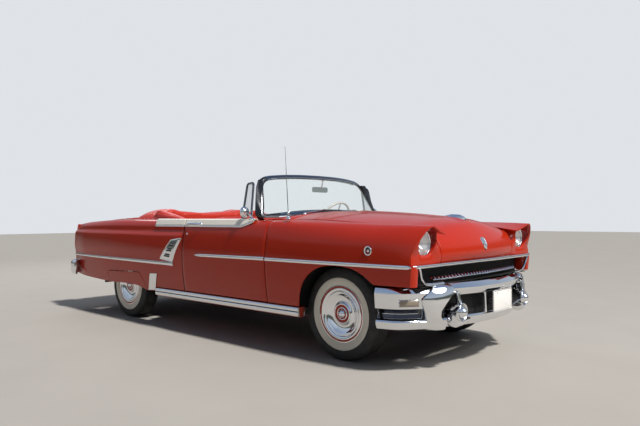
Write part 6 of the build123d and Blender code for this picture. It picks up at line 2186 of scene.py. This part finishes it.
def seats():
    bench_cushion("front_seat_cushion", 0.070, 0.580, 0.500, 0.600, 0.700, (0.165, 0.470, 0.585),
                  ["front_seat"])
    bench_back("front_seat_back", [(0.100, 0.545), (0.118, 0.600), (0.112, 0.680), (0.098, 0.800),
                                   (0.076, 0.930), (0.052, 1.040), (0.030, 1.084), (-0.005, 1.092),
                                   (-0.036, 1.078), (-0.048, 1.020), (-0.054, 0.880), (-0.058, 0.720),
                                   (-0.054, 0.600), (-0.020, 0.540)],
               0.700, (0.665, 0.985, 0.585), 0.16)
    bench_cushion("rear_seat_cushion", -0.690, -0.305, 0.400, 0.556, 0.770, (-0.640, -0.400, 0.620),
                  ["rear_seat"])
    bench_back("rear_seat_back", [(-0.700, 0.560), (-0.694, 0.640), (-0.704, 0.780), (-0.718, 0.920),
                                  (-0.740, 1.020), (-0.772, 1.050), (-0.812, 1.052), (-0.848, 1.030),
                                  (-0.854, 0.900), (-0.854, 0.720), (-0.850, 0.600), (-0.790, 0.568)],
               0.595, (0.645, 0.960, 0.500), 0.12)
    base = Form()
    for sign in (1, -1):
        side = [(0.10, 0.420), (0.52, 0.420), (0.560, 0.470), (0.560, 0.515), (0.06, 0.515),
                (0.03, 0.560), (0.010, 0.640), (-0.030, 0.640), (-0.020, 0.540), (0.06, 0.470)]
        y0, y1 = sorted((sign * 0.678, sign * 0.690))
        base.prism(side, "y", y0, y1)
    base.mat = 1
    for sign in (1, -1):
        y0, y1 = sorted((sign * 0.445, sign * 0.495))
        base.box((0.125, y0, 0.366), (0.475, y1, 0.384))
        base.box((0.150, y0 + 0.012, 0.384), (0.450, y1 - 0.012, 0.425))
    base.mat = 2
    base.box((0.09, -0.665, 0.425), (0.545, 0.665, 0.505))
    make("front_seat_base", base, [CHROME_SOFT, BLACK, SEAT_RED], "body", "seat_red", bevel=0.004)


BOOT_SEAM_X = -0.955
BOOT_SEAM_Y = 0.36
BOOT_OUTER = 0.735
BOOT_FOOT = 1.004
ARM_FOOT = 0.995
SNAP = [(0.0, 0.008), (0.003, 0.0078), (0.0050, 0.005), (0.0055, 0.0003)]


def boot_height(x):
    """Top of the boot in side view."""
    return at_x([(-1.410, 1.052), (-1.385, 1.104), (-1.335, 1.152), (-1.250, 1.186), (-1.150, 1.199),
                 (-1.000, 1.193),
                 (-0.900, 1.175), (-0.750, 1.144), (-0.510, 1.098), (-0.380, 1.066)], x)


def rounded_square(count, power_u, power_v):
    """Points u, v from -1 to 1 round a square with soft corners."""
    out = []
    for k in range(count):
        c, s = cos(2 * pi * k / count), sin(2 * pi * k / count)
        out.append((np.sign(c) * abs(c) ** power_u, np.sign(s) * abs(s) ** power_v))
    return out


def boot():
    """Cross part of the boot over the folded top, sagging in its middle."""
    rows = []
    for x in list(np.linspace(-1.402, -1.36, 5)) + list(np.linspace(-1.34, -0.925, 22)):
        top = boot_height(x) - 0.010
        row = []
        for u, v in rounded_square(64, 0.30, 0.55):
            crown = (top - BOOT_FOOT) * (1.0 - 0.32 * abs(u) ** 5)
            sag = 0.062 * (1 - step(0.24, 0.56, BOOT_OUTER * abs(u))) * crown / 0.18
            row.append((x, BOOT_OUTER * u, BOOT_FOOT + max(v, 0) * (crown - sag)))
        rows.append(row)
    return Form().grid(rows, close_u=True, cap=True)


def boot_arm():
    """Left arm of the boot, forward beside the rear seat."""
    inner = [(-1.08, 0.560), (-0.905, 0.606), (-0.880, 0.618), (-0.750, 0.624), (-0.530, 0.650),
             (-0.400, 0.686), (-0.372, 0.700)]
    rows = []
    for x in np.linspace(-1.08, -0.372, 30):
        top = boot_height(x) - 0.010
        y0 = at_x(inner, x)
        y1 = BOOT_OUTER - 0.018 * step(-0.50, -0.372, x)
        mid = (y0 + y1) / 2 - 0.006
        grow = 0.30 + 0.70 * step(-1.075, -0.925, x)
        row = []
        for u, v in rounded_square(36, 0.6, 0.7):
            crown = (top - ARM_FOOT) * (1.0 - 0.25 * max(0.0, u) ** 3) * grow
            y = mid + (y1 - y0) / 2 * u + (0.006 if u > 0 else 0.0)
            row.append((x, y, ARM_FOOT + (crown if v > 0 else 0.008) * v))
        rows.append(row)
    return Form().grid(rows, close_u=True, cap=True)


def boot_cover():
    form = boot()
    form.add(boot_arm().both())

    def pinned(c):
        return c[2] < 1.012 or (c[2] < 1.062 and abs(c[1]) > 0.70) or (c[0] < -1.385)

    def depth_at(p, n):
        if n[2] < 0.1 and p[0] > -1.38:
            return 0.0
        seam = min(abs(abs(p[1]) - BOOT_SEAM_Y), abs(p[0] - BOOT_SEAM_X) if abs(p[1]) < 0.62 else 1.0)
        hollow = 0.006 * (0.5 + 0.5 * sin(p[0] * 21 + 1.3 * sin(p[1] * 9))) * step(0.2, 0.9, n[2])
        dents = 0.0035 * noise.noise(Vector((p[0] * 7, p[1] * 11, 3.1)))
        return 0.006 * gutter(seam, 0.018) + hollow * 0.4 + dents

    obj = soft("boot_cover", form, [BOOT_RED], lambda c, n: 0, pinned, "cover_red", ["top_cover"],
               depth_at, fill=0.5)
    paths = [([(x, y, 1.2) for x in np.linspace(-1.372, -0.96, 40)], False)
             for y in (BOOT_SEAM_Y, -BOOT_SEAM_Y)]
    paths.append(([(BOOT_SEAM_X, y, 1.25) for y in np.linspace(-0.60, 0.60, 70)], False))
    piping(obj, "boot_welts", paths, 0.0048, BOOT_RED, "cover_red", (0, 0, -1))
    snaps = Form()
    tree = BVHTree.FromPolygons([v.co for v in obj.data.vertices],
                                [f.vertices for f in obj.data.polygons])
    for sign in (1, -1):
        for x in np.linspace(-1.33, -0.45, 11):
            hit = tree.ray_cast(Vector((x, sign * 0.90, 1.056)), Vector((0, -sign, 0)))[0]
            if hit is not None:
                snaps.lathe(SNAP, tuple(hit), axis="y", sign=sign, segments=14)
    for y in np.linspace(-0.66, 0.66, 12):
        hit = tree.ray_cast(Vector((-1.60, y, 1.056 + 0.02 * (1 - (y / 0.7) ** 2))), Vector((1, 0, 0)))[0]
        if hit is not None:
            snaps.lathe(SNAP, tuple(hit), axis="x", sign=-1, segments=14)
    make("boot_snaps", snaps, CHROME, "body", "chrome")


def floor_height(x, y):
    """Top of the cabin floor, with its tunnel and toe board."""
    z = 0.3635 + 0.0006 + max(0.0, x - 1.175) * 1.55
    return max(z, 0.325 + sqrt(max(0.0, 0.151 ** 2 - y * y)))


def pile_height(x, y):
    """Top of the carpet, a little uneven."""
    return floor_height(x, y) + 0.006 + 0.0012 * noise.noise(Vector((x * 30, y * 30, 0)))


def carpets():
    form = Form()
    for x0, x1 in ((-0.29, 0.78), (0.78, 1.215)):
        rows = [[(x, y, pile_height(x, y)) for y in np.linspace(-0.764, 0.764, 121)]
                for x in np.linspace(x0, x1, 40)]
        form.sheet(rows, 0.005, (0, 0, 1))
    form.mat = 1
    for y0, y1 in ((0.215, 0.585), (-0.585, -0.215)):
        rows = []
        for x in np.linspace(0.72, 1.13, 42):
            rib = 0.0016 * (sin(x * 380) > 0) if 0.75 < x < 1.10 else 0.0
            rows.append([(x, y, floor_height(x, y) + 0.011 + rib) for y in np.linspace(y0, y1, 26)])
        form.sheet(rows, 0.004, (0, 0, 1))
    form.mat = 2
    for sign in (1, -1):
        y0, y1 = sorted((sign * 0.790, sign * 0.830))
        form.box((-0.08, y0, 0.388), (1.03, y1, 0.3915))
        for k in range(7):
            yy = sign * (0.795 + k * 0.005)
            form.tube([(-0.07, yy, 0.3915), (1.02, yy, 0.3915)], 0.0011, 5)
    make("cabin_carpet", form, [CARPET, RUBBER, CHROME_SOFT], "body", "floor_dark")


def pedals():
    """Brake and clutch pads on their arms, and the treadle beside them."""
    form = Form()
    for y, x, z, w, h in ((0.510, 1.105, 0.505, 0.034, 0.030), (0.400, 1.110, 0.505, 0.034, 0.030)):
        form.mat = 0
        pad = []
        for k in range(6):
            u = k / 5 - 0.5
            pad.append([(x + u * 0.030, y + v, z + u * 2 * h) for v in np.linspace(-w, w, 7)])
        form.sheet(pad, 0.010, (-1, 0, 0.5))
        form.mat = 1
        for k in range(4):
            u = (k + 0.6) / 4.2 - 0.5
            form.tube([(x + u * 0.030 - 0.001, y - w + 0.004, z + u * 2 * h),
                       (x + u * 0.030 - 0.001, y + w - 0.004, z + u * 2 * h)], 0.0022, 6)
        form.mat = 2
        form.tube(curve_through([(x + 0.008, y, z), (x + 0.045, y, z + 0.02), (x + 0.085, y, z + 0.01),
                                 (x + 0.105, y, z - 0.055)], 12), 0.008, 8)
    form.mat = 0
    rows = []
    for t in np.linspace(0, 1, 12):
        rows.append([(1.035 + t * 0.115, 0.285 + v, 0.392 + t * 0.115 + 0.006)
                     for v in np.linspace(-0.026, 0.026, 6)])
    form.sheet(rows, 0.010, (-1, 0, 1))
    make("pedals", form, [RUBBER, BLACK, BLACK], "body", "frame_black", bevel=0.0008)


def side_panels():
    """Kick panels ahead of the doors and pleated panels beside the rear seat."""
    panels = Form()
    for sign in (1, -1):
        rows = [[(x, sign * 0.766, z) for x in np.linspace(1.045, 1.245, 8)]
                for z in np.linspace(0.40, 0.93, 16)]
        panels.sheet(rows, 0.005, (0, -sign, 0))
        panels.mat = 1
        rows = []
        for z in np.linspace(0.60, 0.985, 28):
            rows.append([(x, sign * (0.7925 - flute(x, z, -0.12, (0.64, 0.67), (0.86, 0.89))), z)
                         for x in np.linspace(-0.700, -0.125, 60)])
        panels.sheet(rows, 0.005, (0, -sign, 0))
        panels.mat = 2
        for z in (0.62, 0.875):
            panels.tube([(-0.695, sign * 0.785, z), (-0.130, sign * 0.785, z)], (0.006, 0.004), 8,
                        squeeze=(0, 0, 1))
        panels.mat = 0
    make("cabin_side_panels", panels, [SEAT_RED, SEAT_RED, CHROME], "body", "seat_red")


def antenna():
    """Telescopic mast on the right fender."""
    form = Form()
    x, y, z = 1.224, -0.862, 1.0675
    form.turned([(-0.004, 0.020), (0.004, 0.0195), (0.012, 0.013), (0.030, 0.0095), (0.052, 0.0085),
                 (0.058, 0.0045)], 20, (x, y, z - 0.010), axis="z", segments=28)

    def at(h):
        return (x - 0.036 * (h - z) / (1.64 - z), y, h)

    for z0, z1, r in ((z + 0.045, 1.30, 0.0030), (1.295, 1.47, 0.0023), (1.465, 1.632, 0.0016)):
        form.tube([at(z0), at(z1)], r, 10)
    form.lathe([(0.0, 0.0003), (0.002, 0.0028), (0.005, 0.0033), (0.0075, 0.002), (0.008, 0.0002)],
               (x - 0.0355, y, 1.631), axis="z", segments=14)
    make("radio_antenna", form, CHROME, "body", "chrome", ["antenna"], angle=40)


def cabin():
    windshield_surround()
    windshield_pane()
    inside_mirror()
    wipers()
    vent_window()
    pillars()
    dashboard()
    steering()
    seats()
    boot_cover()
    carpets()
    pedals()
    side_panels()
    antenna()


# Stage


FLOOR_REACH = 40.0
FLOOR_PALE = (0.43, 0.42, 0.40)
FLOOR_SHADE = (0.38, 0.37, 0.355)
# What glossy surfaces reflect, by height: pale ground, a dark horizon and sky.
SKY_STOPS = [(0.0, (0.34, 0.33, 0.30)), (0.03, (0.07, 0.08, 0.065)), (0.17, (0.10, 0.12, 0.11)),
             (0.25, (0.44, 0.50, 0.58)), (0.9, (0.17, 0.25, 0.42))]
FILL_LIGHT = (0.11, 0.12, 0.145, 1)
BACKDROP = (0.74, 0.77, 0.81, 1)
# Name, place, diameter, power and colour; each lamp is aimed at the middle of the car.
LAMPS = [
    ("front", (8.0, 1.0, 5.0), 3.5, 130.0, (1.0, 0.97, 0.93)),
    ("side", (0.5, -9.5, 4.0), 5.0, 6.0, (0.95, 0.98, 1.0)),
    ("rear", (-8.0, 3.0, 6.0), 4.0, 110.0, (1.0, 1.0, 1.0)),
]
LAMP_AIM = (0.3, 0, 0.6)
SUN_WAY = (-0.56, -0.03, -0.83)
SUN_POWER = 3.9
SUN_SPREAD = radians(5)
SUN_COLOR = (1.0, 0.94, 0.86)
CAMERA_PLACE = (4.5905, -4.147, 1.064)
CAMERA_YAW = radians(42.63)
CAMERA_PITCH = radians(0.48)
CAMERA_ROLL = radians(-0.25)
SENSOR_WIDTH = 36.0
# Focal length and picture width in pixels.
FOCAL_PIXELS = 589.3
PICTURE_WIDTH = 640


def floor():
    """Pale plain floor."""
    mesh = bpy.data.meshes.new("floor")
    r = FLOOR_REACH
    mesh.from_pydata([(-r, -r, 0), (r, -r, 0), (r, r, 0), (-r, r, 0)], [], [(0, 1, 2, 3)])
    obj = placed("floor", mesh)
    m = Nodes("floor_pale", FLOOR_PALE, 0.85)
    m.color(m.mix(m.noise(1.5, 6.0), FLOOR_PALE, FLOOR_SHADE))
    m.bump(m.noise(90.0, 5.0), 0.2, 0.004)
    mesh.materials.append(m.material)


def studio():
    """World that lights evenly, looks pale and gives reflections a horizon."""
    world = bpy.data.worlds.new("studio")
    bpy.context.scene.world = world
    world.use_nodes = True
    nodes, links = world.node_tree.nodes, world.node_tree.links
    back = nodes["Background"]
    path = nodes.new("ShaderNodeLightPath")
    coordinate = nodes.new("ShaderNodeTexCoord")
    split = nodes.new("ShaderNodeSeparateXYZ")
    links.new(coordinate.outputs["Generated"], split.inputs[0])
    ramp = nodes.new("ShaderNodeValToRGB")
    while len(ramp.color_ramp.elements) < len(SKY_STOPS):
        ramp.color_ramp.elements.new(0.5)
    for e, (at, value) in zip(ramp.color_ramp.elements, SKY_STOPS):
        e.position = at
        e.color = (*value, 1)
    links.new(split.outputs["Z"], ramp.inputs["Fac"])
    shown = nodes.new("ShaderNodeMix")
    shown.data_type = "RGBA"
    shown.inputs[6].default_value = FILL_LIGHT
    shown.inputs[7].default_value = BACKDROP
    clear = nodes.new("ShaderNodeMath")
    clear.operation = "MAXIMUM"
    links.new(path.outputs["Is Camera Ray"], clear.inputs[0])
    links.new(path.outputs["Is Transmission Ray"], clear.inputs[1])
    links.new(clear.outputs[0], shown.inputs["Factor"])
    plainer = nodes.new("ShaderNodeMix")
    plainer.data_type = "RGBA"
    links.new(path.outputs["Is Glossy Ray"], plainer.inputs["Factor"])
    links.new(shown.outputs[2], plainer.inputs[6])
    links.new(ramp.outputs["Color"], plainer.inputs[7])
    links.new(plainer.outputs[2], back.inputs["Color"])
    back.inputs["Strength"].default_value = 1.0


def lamps():
    for name, place, size, power, color in LAMPS:
        light = bpy.data.lights.new(name, "AREA")
        light.shape = "DISK"
        light.size, light.energy, light.color = size, power, color
        lamp = placed(name, light)
        lamp.location = place
        lamp.rotation_euler = (Vector(LAMP_AIM) - Vector(place)).to_track_quat("-Z", "Y").to_euler()
    key = bpy.data.lights.new("key", "SUN")
    key.energy, key.angle, key.color = SUN_POWER, SUN_SPREAD, SUN_COLOR
    placed("key", key).rotation_euler = Vector(SUN_WAY).to_track_quat("-Z", "Y").to_euler()


def camera():
    """Camera at the place the photograph was taken from."""
    yaw, pitch, roll = CAMERA_YAW, CAMERA_PITCH, CAMERA_ROLL
    ahead = Vector((-sin(yaw) * cos(pitch), cos(yaw) * cos(pitch), sin(pitch)))
    level = Vector((cos(yaw), sin(yaw), 0))
    above = level.cross(ahead)
    across = level * cos(roll) + above * sin(roll)
    up = above * cos(roll) - level * sin(roll)
    data = bpy.data.cameras.new("camera")
    data.sensor_width = SENSOR_WIDTH
    data.lens = SENSOR_WIDTH * FOCAL_PIXELS / PICTURE_WIDTH
    obj = placed("camera", data)
    rows = [(a, u, -f, at) for a, u, f, at in zip(across, up, ahead, CAMERA_PLACE)]
    obj.matrix_world = Matrix(rows + [(0, 0, 0, 1)])
    bpy.context.scene.camera = obj


def stage():
    floor()
    studio()
    lamps()
    camera()
    bpy.context.scene.view_settings.view_transform = "Standard"


def carried_over():
    """Better materials on the CAD nodes whose shape stays."""
    table = {
        BLACK: ("chassis_frame", "front_suspension", "rear_axle", "fuel_tank", "knuckle_left",
                "knuckle_right", "track_rod",
                "radiator_support"),
        ENGINE: ("engine",), STEEL: ("exhaust",),
        RED: ("body_floor", "cowl", "steering_column", "dashboard"),
    }
    for material, names in table.items():
        for name in names:
            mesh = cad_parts[name].data
            mesh.materials.clear()
            mesh.materials.append(material)


body_shell()
bright_pieces()
wheels()
cabin()
carried_over()
stage()
